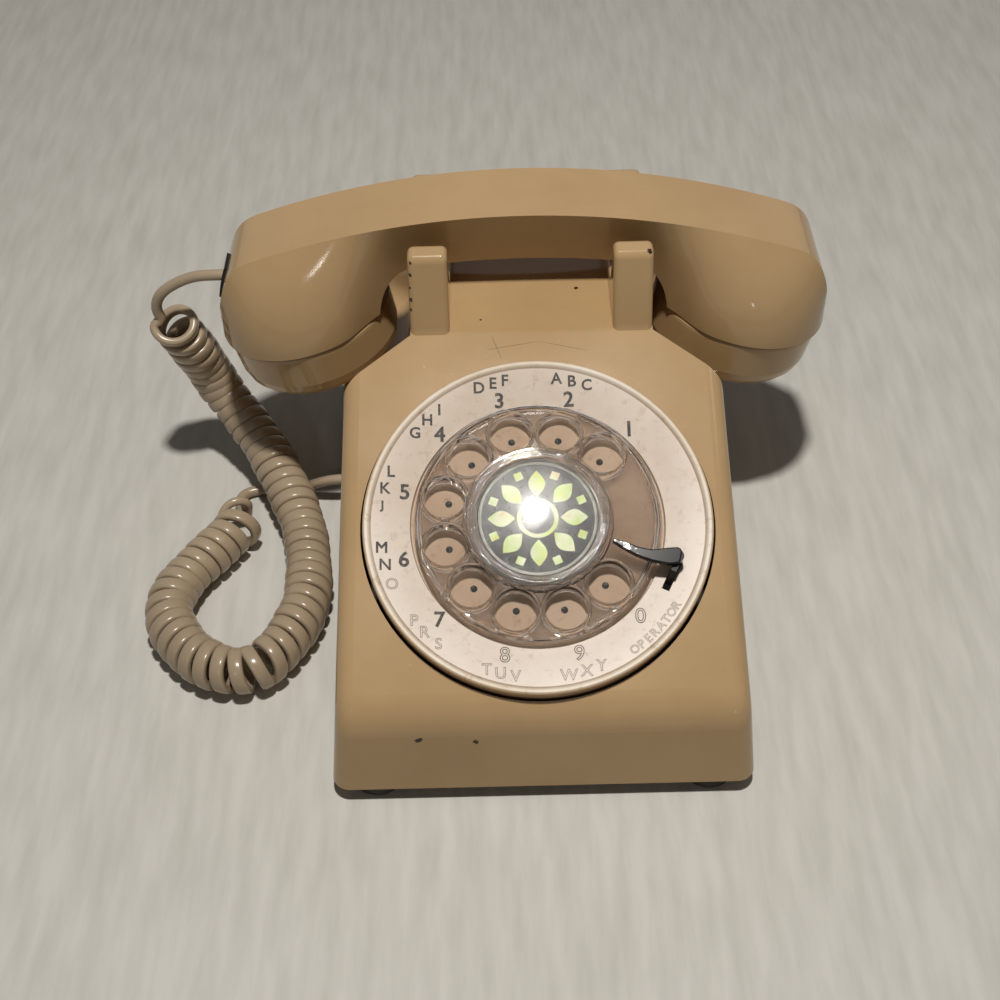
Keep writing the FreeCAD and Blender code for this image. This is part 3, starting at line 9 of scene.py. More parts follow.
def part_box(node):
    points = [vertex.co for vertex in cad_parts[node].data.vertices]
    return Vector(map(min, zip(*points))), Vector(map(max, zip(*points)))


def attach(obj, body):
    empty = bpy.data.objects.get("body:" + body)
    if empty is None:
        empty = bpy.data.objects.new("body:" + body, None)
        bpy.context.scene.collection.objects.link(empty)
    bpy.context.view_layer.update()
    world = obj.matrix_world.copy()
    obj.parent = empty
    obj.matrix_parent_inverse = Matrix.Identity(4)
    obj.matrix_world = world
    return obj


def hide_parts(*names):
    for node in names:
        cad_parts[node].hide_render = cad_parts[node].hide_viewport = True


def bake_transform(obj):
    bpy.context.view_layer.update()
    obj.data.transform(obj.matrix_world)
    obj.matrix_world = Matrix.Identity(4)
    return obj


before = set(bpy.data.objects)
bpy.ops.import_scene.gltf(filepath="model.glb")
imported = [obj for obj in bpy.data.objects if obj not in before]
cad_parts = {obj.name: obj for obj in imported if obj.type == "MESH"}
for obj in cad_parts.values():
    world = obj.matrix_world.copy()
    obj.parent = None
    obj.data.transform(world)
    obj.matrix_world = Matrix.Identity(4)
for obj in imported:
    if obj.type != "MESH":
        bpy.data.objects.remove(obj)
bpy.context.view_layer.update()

scene = bpy.context.scene
scene.view_settings.view_transform = "Standard"

# The camera stands in front and above, and looks down at the dial.
# Places are given in millimetres from the middle of the housing, as on a drawing of it.
FRONT_EDGE = 110.7
low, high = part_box("housing")
MIDDLE = Vector(((low.x + high.x) / 2, low.y + FRONT_EDGE / 1000, 0))


def at(x, y, z):
    return Vector((x, y, z)) / 1000 + MIDDLE


PHOTO_PX, FOCAL_PX, SENSOR = 1000, 1444, 36
CAMERA_PLACE = at(-9.88, -371.4, 401.7)
PITCH, YAW, ROLL = math.radians(45.40), math.radians(-0.36), math.radians(-1.64)
forward = Vector((math.sin(YAW) * math.cos(PITCH), math.cos(YAW) * math.cos(PITCH), -math.sin(PITCH)))
level = Vector((math.cos(YAW), -math.sin(YAW), 0))
upright = level.cross(forward)
right = level * math.cos(ROLL) + upright * math.sin(ROLL)
up = upright * math.cos(ROLL) - level * math.sin(ROLL)
camera = bpy.data.objects.new("camera", bpy.data.cameras.new("camera"))
camera.data.sensor_width = SENSOR
camera.data.lens = SENSOR * FOCAL_PX / PHOTO_PX
camera.data.clip_start = 0.01
camera_turn = Matrix((right, up, -forward)).transposed().to_4x4()
camera.matrix_world = Matrix.Translation(CAMERA_PLACE) @ camera_turn
scene.collection.objects.link(camera)
scene.camera = camera

# The floor is a plain pale board that keeps the telephone's shadow.
# It is not part of the object.
FLOOR_REACH = 3


def paint(red, green, blue):
    # a colour as it is seen, in steps of 0 to 255
    def linear(value):
        value = value / 255
        return value / 12.92 if value < 0.04045 else ((value + 0.055) / 1.055) ** 2.4
    return (linear(red), linear(green), linear(blue), 1.0)


def new_finish(name, colour, roughness, metallic=0.0):
    material = bpy.data.materials.new(name)
    material.use_nodes = True
    shader = material.node_tree.nodes["Principled BSDF"]
    shader.inputs["Base Color"].default_value = colour
    shader.inputs["Roughness"].default_value = roughness
    shader.inputs["Metallic"].default_value = metallic
    return material, material.node_tree, shader


def node(tree, kind, inputs=None, **settings):
    made = tree.nodes.new(kind)
    for name, value in settings.items():
        setattr(made, name, value)
    for name, value in (inputs or {}).items():
        if isinstance(value, bpy.types.NodeSocket):
            tree.links.new(value, made.inputs[name])
        else:
            made.inputs[name].default_value = value
    return made


def object_place(tree, stretch=(1, 1, 1)):
    source = node(tree, "ShaderNodeTexCoord").outputs["Object"]
    return node(tree, "ShaderNodeMapping", {"Vector": source, "Scale": stretch}).outputs["Vector"]


def noise(tree, place, scale, detail, roughness=0.5):
    sizes = {"Vector": place, "Scale": scale, "Detail": detail, "Roughness": roughness}
    return node(tree, "ShaderNodeTexNoise", sizes).outputs["Fac"]


def ramp(tree, factor, stops):
    made = node(tree, "ShaderNodeValToRGB", {"Fac": factor})
    while len(made.color_ramp.elements) < len(stops):
        made.color_ramp.elements.new(0.5)
    for element, (place, colour) in zip(made.color_ramp.elements, stops):
        element.position = place
        element.color = colour
    return made.outputs["Color"]


def mesh_object(name, mesh, material, smooth=True):
    made = bpy.data.objects.new(name, mesh)
    scene.collection.objects.link(made)
    mesh.materials.clear()
    mesh.materials.append(material)
    mesh.polygons.foreach_set("use_smooth", [smooth] * len(mesh.polygons))
    return made


FLOOR, FLOOR_DARK = paint(204, 202, 196), paint(190, 188, 181)
pale_floor, tree, shader = new_finish("pale_floor", FLOOR, 0.6)
grain = noise(tree, object_place(tree, (60, 9, 1)), scale=3.0, detail=6.0)
tree.links.new(ramp(tree, grain, [(0.3, FLOOR_DARK), (0.65, FLOOR)]), shader.inputs["Base Color"])
corners = [(FLOOR_REACH * x, FLOOR_REACH * y, 0) for x, y in ((-1, -1), (1, -1), (1, 1), (-1, 1))]
mesh = bpy.data.meshes.new("floor")
mesh.from_pydata(corners, [], [(0, 1, 2, 3)])
floor = mesh_object("floor", mesh, pale_floor, smooth=False)

# A ceiling lamp, three weaker lamps at the front and the side, and the light of the room.
# The first stands nearly overhead, as the short shadows in the photograph show.
LAMP_WHITE, ROOM_WHITE = (1.0, 0.96, 0.90), (1.0, 0.98, 0.95, 1.0)
ROOM_LIGHT, ROOM_SEEN = 0.052, 0.34
LAMPS_AIM = at(0, 0, 60)
LAMPS = (("ceiling_lamp", at(10, -162, 1150), 0.08, 10.6),
         ("front_lamp", at(-250, -690, 520), 0.05, 0.2),
         ("low_lamp", at(330, -900, 260), 0.04, 0.05),
         ("side_lamp", at(560, 60, 950), 0.24, 0.2))
for name, place, size, power in LAMPS:
    lamp = bpy.data.lights.new(name, "AREA")
    lamp.shape = "DISK"
    lamp.size = size
    lamp.energy = power
    lamp.color = LAMP_WHITE
    made = bpy.data.objects.new(name, lamp)
    made.location = place
    made.rotation_euler = (LAMPS_AIM - place).to_track_quat("-Z", "Y").to_euler()
    scene.collection.objects.link(made)


def figure(tree, operation, *values):
    return node(tree, "ShaderNodeMath", dict(enumerate(values)), operation=operation).outputs[0]


def remap(tree, value, before=(0.0, 1.0), after=(0.0, 1.0)):
    sizes = {"Value": value, "From Min": before[0], "From Max": before[1],
             "To Min": after[0], "To Max": after[1]}
    return node(tree, "ShaderNodeMapRange", sizes).outputs["Result"]


room = bpy.data.worlds.new("room")
room.use_nodes = True
tree = room.node_tree
back = tree.nodes["Background"]
back.inputs["Color"].default_value = ROOM_WHITE
rays = node(tree, "ShaderNodeLightPath").outputs
straight = figure(tree, "MAXIMUM", rays["Is Camera Ray"], rays["Is Transmission Ray"])
seen = figure(tree, "MAXIMUM", straight, rays["Is Glossy Ray"])
tree.links.new(remap(tree, seen, after=(ROOM_LIGHT, ROOM_SEEN)), back.inputs["Strength"])
scene.world = room

# The housing, the handset and its caps are moulded in one glossy tan plastic.
# It has faint streaks, dull handled patches, fine scratches and a few dark specks.
TAN, TAN_DEEP = paint(181, 151, 110), paint(173, 143, 102)
CHIP_DARK, SPECK_DARK = paint(46, 30, 18), paint(58, 38, 22)


def dress(material, *names):
    for name in names:
        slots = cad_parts[name].data.materials
        slots.clear()
        slots.append(material)


def distance(tree, place, target):
    places = {0: place, 1: target}
    return node(tree, "ShaderNodeVectorMath", places, operation="DISTANCE").outputs["Value"]


def mixed(tree, factor, first, second, way="MIX"):
    colours = {"Factor": factor, "A": first, "B": second}
    return node(tree, "ShaderNodeMix", colours, data_type="RGBA", blend_type=way).outputs["Result"]


def moulded(name, colour, deep, roughness, scratch=0.12, chips=(), scored=()):
    # chips are (x, y, z, radius) and scores (start, end, width), in millimetres
    material, tree, shader = new_finish(name, colour, roughness)
    place = object_place(tree)
    cloud = noise(tree, place, scale=22.0, detail=4.0, roughness=0.6)
    skin = ramp(tree, cloud, [(0.32, deep), (0.62, colour)])
    speck = node(tree, "ShaderNodeTexVoronoi", {"Vector": place, "Scale": 65.0, "Randomness": 1.0})
    size = noise(tree, place, scale=31.0, detail=1.0)
    near = figure(tree, "MULTIPLY", figure(tree, "SUBTRACT", size, 0.62), 0.42)
    spot = figure(tree, "LESS_THAN", speck.outputs["Distance"], near)
    skin = mixed(tree, spot, skin, SPECK_DARK)
    ragged = noise(tree, place, scale=1400.0, detail=2.0)
    for x, y, z, radius in chips:
        away = distance(tree, place, at(x, y, z))
        reach = figure(tree, "MULTIPLY", ragged, 2 * radius / 1000)
        skin = mixed(tree, figure(tree, "LESS_THAN", away, reach), skin, CHIP_DARK)
    for start, end, width in scored:
        total = figure(tree, "ADD", distance(tree, place, at(*start)), distance(tree, place, at(*end)))
        limit = math.hypot((at(*end) - at(*start)).length, width / 1000)
        faint = figure(tree, "MULTIPLY", figure(tree, "LESS_THAN", total, limit), 0.5)
        skin = mixed(tree, faint, skin, CHIP_DARK)
    tree.links.new(skin, shader.inputs["Base Color"])
    slanted = node(tree, "ShaderNodeMapping", {"Vector": place, "Rotation": (0.2, 0.1, 0.7)})
    drawn = node(tree, "ShaderNodeMapping", {"Vector": slanted.outputs["Vector"],
                                             "Scale": (70, 2600, 2600)})
    fine = noise(tree, drawn.outputs["Vector"], scale=1.0, detail=2.0)
    line = ramp(tree, fine, [(0.70, (0, 0, 0, 1)), (0.76, (1, 1, 1, 1))])
    haze = noise(tree, place, scale=14.0, detail=5.0)
    dull = remap(tree, haze, before=(0.35, 0.7), after=(roughness - 0.02, roughness + 0.05))
    tree.links.new(figure(tree, "MULTIPLY_ADD", line, scratch, dull), shader.inputs["Roughness"])
    return material


EAR_CHIPS = [(-39.9, 20.2, 117.2, 0.5), (-40.2, 19.0, 113.2, 0.7), (-40.3, 17.8, 108.8, 0.5),
             (-40.2, 16.6, 104.9, 0.7), (-40.4, 15.4, 101.5, 0.5), (39.6, 21.5, 118.7, 0.9)]
SHELF_CHIPS = [(16.3, 35.8, 93.5, 0.7), (-17.1, 19.2, 93.5, 0.5)]
FRONT_CHIPS = [(-39.4, -107.3, 27.3, 0.9), (-38.6, -107.2, 27.9, 0.7), (-21.2, -107.5, 26.3, 0.9)]
SCORES = [((-15.5, 6.5, 90.7), (2.8, 9.0, 91.9), 0.22),
          ((2.0, 9.0, 91.9), (19.5, 5.3, 90.1), 0.18),
          ((-14.0, 12.3, 93.4), (-10.2, 3.0, 89.0), 0.26)]
tan_plastic = moulded("tan_plastic", TAN, TAN_DEEP, 0.10,
                      chips=EAR_CHIPS + SHELF_CHIPS + FRONT_CHIPS, scored=SCORES)
dress(tan_plastic, "housing", "handset_handle", "transmitter_cap", "receiver_cap")

# Metal, rubber and plain plastic pieces under the housing and in the handset.
# They are plated steel, brass, paint, rubber and dark moulded plastic.


def metal(name, colour, deep, roughness, brushed=(1, 1, 1)):
    material, tree, shader = new_finish(name, colour, roughness, metallic=1.0)
    grain = noise(tree, object_place(tree, brushed), scale=160.0, detail=4.0)
    tree.links.new(ramp(tree, grain, [(0.3, deep), (0.7, colour)]), shader.inputs["Base Color"])
    rough = remap(tree, grain, after=(roughness - 0.08, roughness + 0.15))
    tree.links.new(rough, shader.inputs["Roughness"])
    return material


def plain(name, colour, deep, roughness, grain_size=90.0):
    material, tree, shader = new_finish(name, colour, roughness)
    grain = noise(tree, object_place(tree), scale=grain_size, detail=5.0)
    tree.links.new(ramp(tree, grain, [(0.3, deep), (0.7, colour)]), shader.inputs["Base Color"])
    bump = node(tree, "ShaderNodeBump", {"Height": grain, "Strength": 0.15, "Distance": 0.0003})
    tree.links.new(bump.outputs["Normal"], shader.inputs["Normal"])
    return material


steel = metal("plated_steel", paint(186, 184, 176), paint(150, 148, 140), 0.32, brushed=(1, 6, 1))
brass = metal("brass_sheet", paint(196, 164, 92), paint(160, 128, 66), 0.30)
gong_metal = metal("gong_brass", paint(205, 180, 116), paint(176, 150, 92), 0.2)
rubber = plain("black_rubber", paint(48, 36, 30), paint(34, 26, 22), 0.7)
dark_plastic = plain("dark_moulding", paint(44, 38, 34), paint(30, 26, 24), 0.42)
grey_paint = plain("grey_paint", paint(112, 114, 112), paint(92, 94, 92), 0.5, grain_size=240.0)
pale_plastic = plain("pale_moulding", paint(206, 198, 178), paint(192, 184, 162), 0.4)
winding = plain("copper_winding", paint(150, 84, 44), paint(120, 62, 30), 0.35, grain_size=700.0)
dress(steel, "card_holder", "main_shaft", "governor_shaft", "governor_drum", "dial_frame",
      "dial_screws", "return_spring", "housing_screws", "dial_brackets", "base_rivets",
      "hook_bracket", "hook_pin", "hook_lever", "hook_spring", "ringer_frame", "gong_posts",
      "ringer_core", "ringer_strap", "ringer_hammer")
dress(brass, "handset_contacts", "main_gear", "pulse_pinion", "governor_gear", "governor_weights",
      "pulse_springs", "hook_contact_leaves", "terminal_screws")
dress(gong_metal, "gong_front", "gong_rear")
dress(rubber, "feet", "cord_relief_base")
dress(dark_plastic, "transmitter_cup", "pulse_block", "hook_contact_block", "ringer_bobbin",
      "volume_wheel", "network_board")
dress(grey_paint, "receiver_unit", "transmitter_unit", "base_plate", "ringer_magnet", "network_can")
dress(pale_plastic, "pulse_cam", "hook_plunger_left", "hook_plunger_right")
dress(winding, "ringer_winding")

# The finger stop is a bent steel piece in a slot of the number plate, and the cord's tab a thin strip.
# Both are painted black, and the stop is worn to bare metal at its tip.
STOP_TIP = at(24.0, -62.0, 73.0)
STOP_BLACK, STOP_DEEP, BARE_STEEL = paint(26, 25, 26), paint(24, 23, 24), paint(140, 136, 130)
worn_black_paint, tree, shader = new_finish("worn_black_paint", STOP_BLACK, 0.18)
shader.inputs["Specular IOR Level"].default_value = 0.3
place = object_place(tree)
flakes = noise(tree, place, scale=420.0, detail=6.0, roughness=0.7)
worn = remap(tree, distance(tree, place, STOP_TIP), before=(0.004, 0.016), after=(0.56, 0.27))
bare = figure(tree, "LESS_THAN", flakes, worn)
tree.links.new(mixed(tree, bare, STOP_DEEP, BARE_STEEL), shader.inputs["Base Color"])
tree.links.new(bare, shader.inputs["Metallic"])
dress(worn_black_paint, "finger_stop", "cord_stay_handset")

# The number plate is moulded in cream plastic with a raised rim.
# Its sloping ring carries the numbers and letters, and dots mark the finger holes.
DIAL_PLACE, FACE_TILT = at(0, -50.0, 64.0), 25.7
DIAL = Matrix.Translation(DIAL_PLACE) @ Matrix.Rotation(math.radians(FACE_TILT), 4, "X")
# The plate under the finger wheel is coloured darker: painted shade of the wheel over it.
UNDER_WHEEL_SHADE, RING_CREAM = paint(176, 151, 128), paint(188, 171, 154)
# The pale band on the rim is a painted highlight, and the tan past it is painted shade on the rim's
# outer slope.
RIM_HIGHLIGHT, RIM_OUTER_SHADE = paint(238, 228, 212), paint(186, 158, 126)
DULL_CREAM, STAIN, WHITE = paint(232, 222, 210), paint(196, 168, 140), (1, 1, 1, 1)
cream_plate, tree, shader = new_finish("cream_plate", RING_CREAM, 0.28)
place = object_place(tree)
away = distance(tree, place, DIAL_PLACE)
# Colour by distance from the middle: painted shade under the wheel, cream ring, painted highlight on
# the rim, painted shade on its outer slope.
ring = ramp(tree, remap(tree, away, before=(0.036, 0.058)),
            [(0.18, UNDER_WHEEL_SHADE), (0.25, RING_CREAM), (0.82, RING_CREAM),
             (0.86, RIM_HIGHLIGHT), (0.89, RIM_HIGHLIGHT), (0.92, RIM_OUTER_SHADE)])
cloud = noise(tree, place, scale=30.0, detail=6.0, roughness=0.65)
grime = noise(tree, place, scale=260.0, detail=4.0, roughness=0.7)
dull = ramp(tree, cloud, [(0.3, DULL_CREAM), (0.6, WHITE)])
stain = ramp(tree, grime, [(0.30, STAIN), (0.44, WHITE)])
tint = mixed(tree, 1.0, ring, dull, "MULTIPLY")
tree.links.new(mixed(tree, 0.5, tint, stain, "MULTIPLY"), shader.inputs["Base Color"])
gloss = remap(tree, away, before=(0.040, 0.0415), after=(0.65, 0.30))
tree.links.new(gloss, shader.inputs["Roughness"])
dress(cream_plate, "number_plate")

# The numbers and letters are printed in black on the plate, and partly rubbed off at the lower right.
# They are thin flat shapes that follow the plate's slope.
FLAT_R, SLOPE_R, SLOPE_HIGH, SLOPE = 41.2, 43.0, 1.5, 0.17
INK_LIFT = 0.04
BOLDER, WORN = 0.036, 0.028
CORNER_BLUNT, CORNER_REACH = 0.3, 1.6
LETTER_CURVE = 4


def ring_height(radius):
    # height of the plate's sloping ring above its middle, in millimetres
    if radius < FLAT_R:
        return 0.0
    return SLOPE_HIGH + (radius - SLOPE_R) * SLOPE


def outline_strip(points, faces, inward, outward):
    # a thin band along the edge of a flat shape, from inward to outward of it
    count = {}
    for face in faces:
        for a, b in zip(face, face[1:] + face[:1]):
            count[(a, b)] = count.get((a, b), 0) + 1
    after = {a: b for a, b in count if (b, a) not in count}
    before = {b: a for a, b in after.items()}
    band, sides = [], []
    place = {}
    for a in after:
        here, ahead, back = Vector(points[a]), Vector(points[after[a]]), Vector(points[before[a]])
        first, second = (here - back).normalized(), (ahead - here).normalized()
        out_first, out_second = Vector((first.y, -first.x)), Vector((second.y, -second.x))
        middle = (out_first + out_second).normalized()
        reach = min(1 / max(middle.dot(out_second), CORNER_BLUNT), CORNER_REACH)
        place[a] = len(band)
        band += [tuple(here - middle * inward * reach), tuple(here + middle * outward * reach)]
    for a, b in after.items():
        i, j = place[a], place[b]
        sides.append((i, i + 1, j + 1, j))
    return band, sides


def glyph(text, height, hollow):
    # one printed character as flat faces, its middle at the origin; hollow leaves only its outline
    curve = bpy.data.curves.new("glyph", "FONT")
    curve.body = text
    curve.size = 1.0
    curve.resolution_u = LETTER_CURVE
    curve.align_x = "CENTER"
    holder = bpy.data.objects.new("glyph", curve)
    scene.collection.objects.link(holder)
    bpy.context.view_layer.update()
    flat = bpy.data.meshes.new_from_object(holder.evaluated_get(bpy.context.evaluated_depsgraph_get()))
    bpy.data.objects.remove(holder)
    xs = [v.co.x for v in flat.vertices]
    ys = [v.co.y for v in flat.vertices]
    size = height / (max(ys) - min(ys))
    middle = Vector(((max(xs) + min(xs)) / 2, (max(ys) + min(ys)) / 2))
    points = [((v.co.x - middle.x) * size, (v.co.y - middle.y) * size) for v in flat.vertices]
    merged = {}
    short = [merged.setdefault((round(x, 4), round(y, 4)), k) for k, (x, y) in enumerate(points)]
    faces = [tuple(short[v] for v in p.vertices) for p in flat.polygons]
    faces = [face for face in faces if len(set(face)) == len(face)]
    bpy.data.meshes.remove(flat)
    inward, outward = (height * WORN, height * WORN) if hollow else (0.0, height * BOLDER)
    band, sides = outline_strip(points, faces, inward, outward)
    if hollow:
        return band, sides
    return points + band, faces + [tuple(len(points) + k for k in side) for side in sides]


def print_characters(name, characters, material, hollow=False):
    # characters: (text, radius, angle, height, turn); each follows the slope of the plate
    points, faces = [], []
    for text, radius, angle, height, turn in characters:
        flat, triangles = glyph(text, height, hollow)
        start = len(points)
        a, t = math.radians(angle), math.radians(turn)
        for x, y in flat:
            u = radius * math.cos(a) + x * math.cos(t) - y * math.sin(t)
            v = radius * math.sin(a) + x * math.sin(t) + y * math.cos(t)
            w = ring_height(math.hypot(u, v)) + INK_LIFT
            points.append(DIAL @ (Vector((u, v, w)) / 1000))
        faces += [tuple(start + k for k in triangle) for triangle in triangles]
    mesh = bpy.data.meshes.new(name)
    mesh.from_pydata(points, [], faces)
    made = mesh_object(name, mesh, material, smooth=False)
    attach(made, "set_body")
    return made


def ink(name, colour, roughness):
    material, tree, shader = new_finish(name, colour, roughness)
    fade = noise(tree, object_place(tree), scale=900.0, detail=3.0)
    pale = tuple(0.8 * c + 0.2 * p for c, p in zip(colour, paint(196, 180, 160)))
    tree.links.new(ramp(tree, fade, [(0.45, colour), (0.75, pale)]), shader.inputs["Base Color"])
    return material


DIGITS = [("1", 45.8), ("2", 75.0), ("3", 105.0), ("4", 134.8), ("5", 164.7), ("6", -165.6),
          ("7", -135.6), ("8", -105.0), ("9", -74.6), ("0", -44.9)]
LETTERS = [("A", 81.3), ("B", 75.3), ("C", 69.6), ("D", 110.9), ("E", 105.3), ("F", 100.7),
           ("G", 141.0), ("H", 134.2), ("I", 128.2), ("J", 172.4), ("K", 165.3), ("L", 158.5),
           ("M", -171.8), ("N", -165.2), ("O", -157.5), ("P", -141.6), ("R", -135.9), ("S", -129.4),
           ("T", -109.9), ("U", -104.8), ("V", -99.4), ("W", -80.6), ("X", -74.1), ("Y", -68.6)]
WORD, WORD_FIRST, WORD_LAST = "OPERATOR", 55.6, 33.7
DIGIT_R, LETTER_R, WORD_R = 44.4, 50.6, 51.3
DIGIT_HIGH, LETTER_HIGH, WORD_HIGH = 4.9, 3.6, 2.7
FRESH_DIGITS, FRESH_LETTERS = "1234567", "ABCDEFGHIJKLMN"
black_ink = ink("black_ink", paint(36, 33, 34), 0.6)
grey_ink = ink("grey_ink", paint(70, 63, 60), 0.6)
worn_ink = ink("worn_ink", paint(120, 106, 94), 0.6)
fresh, rubbed, worn_set = [], [], []
for text, angle in DIGITS:
    row = fresh if text in FRESH_DIGITS else rubbed
    row.append((text, DIGIT_R, angle, DIGIT_HIGH, 0))
for text, angle in LETTERS:
    row = fresh if text in FRESH_LETTERS else worn_set
    row.append((text, LETTER_R, angle, LETTER_HIGH, 0))
for k, text in enumerate(WORD):
    angle = -WORD_FIRST + (WORD_FIRST - WORD_LAST) * k / (len(WORD) - 1)
    worn_set.append((text, WORD_R, angle, WORD_HIGH, angle + 90))
print_characters("printed_characters", fresh, black_ink)
print_characters("rubbed_characters", rubbed, grey_ink, hollow=True)
print_characters("worn_characters", worn_set, worn_ink, hollow=True)

# A black dot is printed on the plate under each of the ten finger holes.
# It shows through the hole while the wheel is at rest.
DOT_R, DOT_SIDES = 1.15, 32
DOTS, DOT_RING, DOT_FIRST, DOT_STEP = 10, 29.6, 45.1, 30.0


def ring_pattern(name, count, step, radius, first_angle, height, part, material):
    # copies of a small part around the dial's middle, made by a node tree and turned into one mesh
    group = bpy.data.node_groups.new(name, "GeometryNodeTree")
    group.interface.new_socket("Geometry", in_out="OUTPUT", socket_type="NodeSocketGeometry")
    sizes = {}
    values = {"Count": count, "Step": step, "Radius": radius, "First Angle": first_angle,
              "Height": height}
    for label, value in values.items():
        kind = "NodeSocketInt" if label == "Count" else "NodeSocketFloat"
        sizes[label] = group.interface.new_socket(label, in_out="INPUT", socket_type=kind)
        sizes[label].default_value = value
    given = group.nodes.new("NodeGroupInput").outputs
    leave = group.nodes.new("NodeGroupOutput")
    line = node(group, "GeometryNodePoints", {"Count": given["Count"]})
    index = node(group, "GeometryNodeInputIndex").outputs[0]
    angle = figure(group, "MULTIPLY_ADD", index, given["Step"], given["First Angle"])
    x = figure(group, "MULTIPLY", figure(group, "COSINE", angle), given["Radius"])
    y = figure(group, "MULTIPLY", figure(group, "SINE", angle), given["Radius"])
    spot = node(group, "ShaderNodeCombineXYZ", {"X": x, "Y": y, "Z": given["Height"]})
    placed = node(group, "GeometryNodeSetPosition", {"Geometry": line.outputs[0],
                                                     "Position": spot.outputs[0]})
    turn = node(group, "ShaderNodeCombineXYZ", {"Z": angle})
    source = node(group, "GeometryNodeObjectInfo", {"Object": part})
    copies = node(group, "GeometryNodeInstanceOnPoints", {"Points": placed.outputs[0],
                                                          "Instance": source.outputs["Geometry"],
                                                          "Rotation": turn.outputs[0]})
    real = node(group, "GeometryNodeRealizeInstances", {0: copies.outputs[0]})
    skin = node(group, "GeometryNodeSetMaterial", {"Geometry": real.outputs[0], "Material": material})
    group.links.new(skin.outputs[0], leave.inputs[0])
    carrier = bpy.data.objects.new(name + "_tree", bpy.data.meshes.new(name + "_tree"))
    scene.collection.objects.link(carrier)
    modifier = carrier.modifiers.new("pattern", "NODES")
    modifier.node_group = group
    for label, value in values.items():
        modifier[sizes[label].identifier] = value
    bpy.context.view_layer.update()
    mesh = bpy.data.meshes.new_from_object(carrier.evaluated_get(bpy.context.evaluated_depsgraph_get()))
    bpy.data.objects.remove(carrier)
    bpy.data.objects.remove(part)
    mesh.transform(DIAL)
    mesh.name = name
    return mesh_object(name, mesh, material, smooth=False)


def small_part(name, points, faces):
    mesh = bpy.data.meshes.new(name)
    mesh.from_pydata([Vector((x, y, 0)) / 1000 for x, y in points], [], faces)
    made = bpy.data.objects.new(name, mesh)
    scene.collection.objects.link(made)
    return made


def disc(radius, sides):
    points = [(radius * math.cos(math.tau * k / sides), radius * math.sin(math.tau * k / sides))
              for k in range(sides)]
    return points, [tuple(range(sides))]


dot_ink = ink("dot_ink", paint(16, 14, 14), 0.7)
dots = ring_pattern("hole_dots", DOTS, math.radians(DOT_STEP), DOT_RING / 1000, math.radians(DOT_FIRST),
                    INK_LIFT / 1000, small_part("dot", *disc(DOT_R, DOT_SIDES)), dot_ink)
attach(dots, "set_body")

# The finger wheel is clear plastic, slightly smoked by age.
# It is moulded in one piece with ten short tubes for the fingers.
PLASTIC_IOR = 1.49


def clear(name, colour, clean, cloudy, rim=0.0):
    # past the distance rim from the dial's middle the plastic is bright and unscratched
    material, tree, shader = new_finish(name, colour, clean)
    shader.inputs["Transmission Weight"].default_value = 1.0
    shader.inputs["IOR"].default_value = PLASTIC_IOR
    haze = noise(tree, object_place(tree), scale=120.0, detail=3.0)
    rough = remap(tree, haze, before=(0.4, 0.8), after=(clean, cloudy))
    if rim:
        away = distance(tree, object_place(tree), DIAL_PLACE)
        bright = remap(tree, away, before=(rim - 0.0005, rim + 0.0005), after=(1.0, 0.15))
        rough = figure(tree, "MULTIPLY", rough, bright)
    tree.links.new(rough, shader.inputs["Roughness"])
    return material


clear_plastic = clear("clear_plastic", (0.97, 0.95, 0.93, 1.0), 0.01, 0.05)
dress(clear_plastic, "finger_wheel")

# The dome over the card is of the same clear plastic, duller from fine scratches.
# It is turned in one smooth shallow curve, and fine moulded ridges run round its thicker rim.
DOME_R, DOME_TOP, DOME_EDGE = 19.8, 10.8, 8.9
LINING_R, LINING_TOP, LINING_EDGE = 18.9, 9.8, 7.8
CURVE_STEPS, DOME_AROUND = 24, 144
RIM_STEPS, RIM_WIDE, RIM_HIGH, RIM_FALL, RIM_SWELL = 48, 2.85, 9.0, 0.35, 0.5
RIDGES, RIDGE_HIGH = 3.5, 0.09
SKIRT = [(22.8, 8.5), (22.85, 8.3), (22.85, 5.0), (20.0, 5.0), (20.0, 7.0)]
CREASE = 35


def turned(name, profile):
    # a closed profile of (radius, height) in millimetres, turned about the dial's middle
    points, faces = [], []
    for radius, height in profile:
        for k in range(DOME_AROUND):
            a = math.tau * k / DOME_AROUND
            points.append(DIAL @ (Vector((radius * math.cos(a), radius * math.sin(a), height)) / 1000))
    for row in range(len(profile)):
        here, ahead = row * DOME_AROUND, (row + 1) % len(profile) * DOME_AROUND
        for k in range(DOME_AROUND):
            n = (k + 1) % DOME_AROUND
            faces.append((here + k, here + n, ahead + n, ahead + k))
    mesh = bpy.data.meshes.new(name)
    mesh.from_pydata(points, [], faces)
    shape = bmesh.new()
    shape.from_mesh(mesh)
    bmesh.ops.remove_doubles(shape, verts=shape.verts, dist=1e-6)
    bmesh.ops.recalc_face_normals(shape, faces=shape.faces)
    shape.to_mesh(mesh)
    shape.free()
    return mesh


def shallow_curve(radius, top, edge):
    return [(radius * k / CURVE_STEPS, top - (top - edge) * (k / CURVE_STEPS) ** 2)
            for k in range(CURVE_STEPS + 1)]


rim = []
for k in range(1, RIM_STEPS):
    t = k / RIM_STEPS
    rise = RIM_HIGH - RIM_FALL * t + RIM_SWELL * math.sin(math.pi * t)
    rise -= RIDGE_HIGH * math.cos(math.tau * RIDGES * t)
    rim.append((DOME_R + RIM_WIDE * t, rise))
outside = shallow_curve(DOME_R, DOME_TOP, DOME_EDGE)
lining = shallow_curve(LINING_R, LINING_TOP, LINING_EDGE)
dome_plastic = clear("dome_plastic", (0.98, 0.98, 0.97, 1.0), 0.13, 0.22, rim=0.0217)
dome = mesh_object("dome", turned("dome", outside + rim + SKIRT + lining[::-1]), dome_plastic)
dome.data.set_sharp_from_angle(angle=math.radians(CREASE))
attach(dome, "dial_wheel")
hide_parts("card_cover")

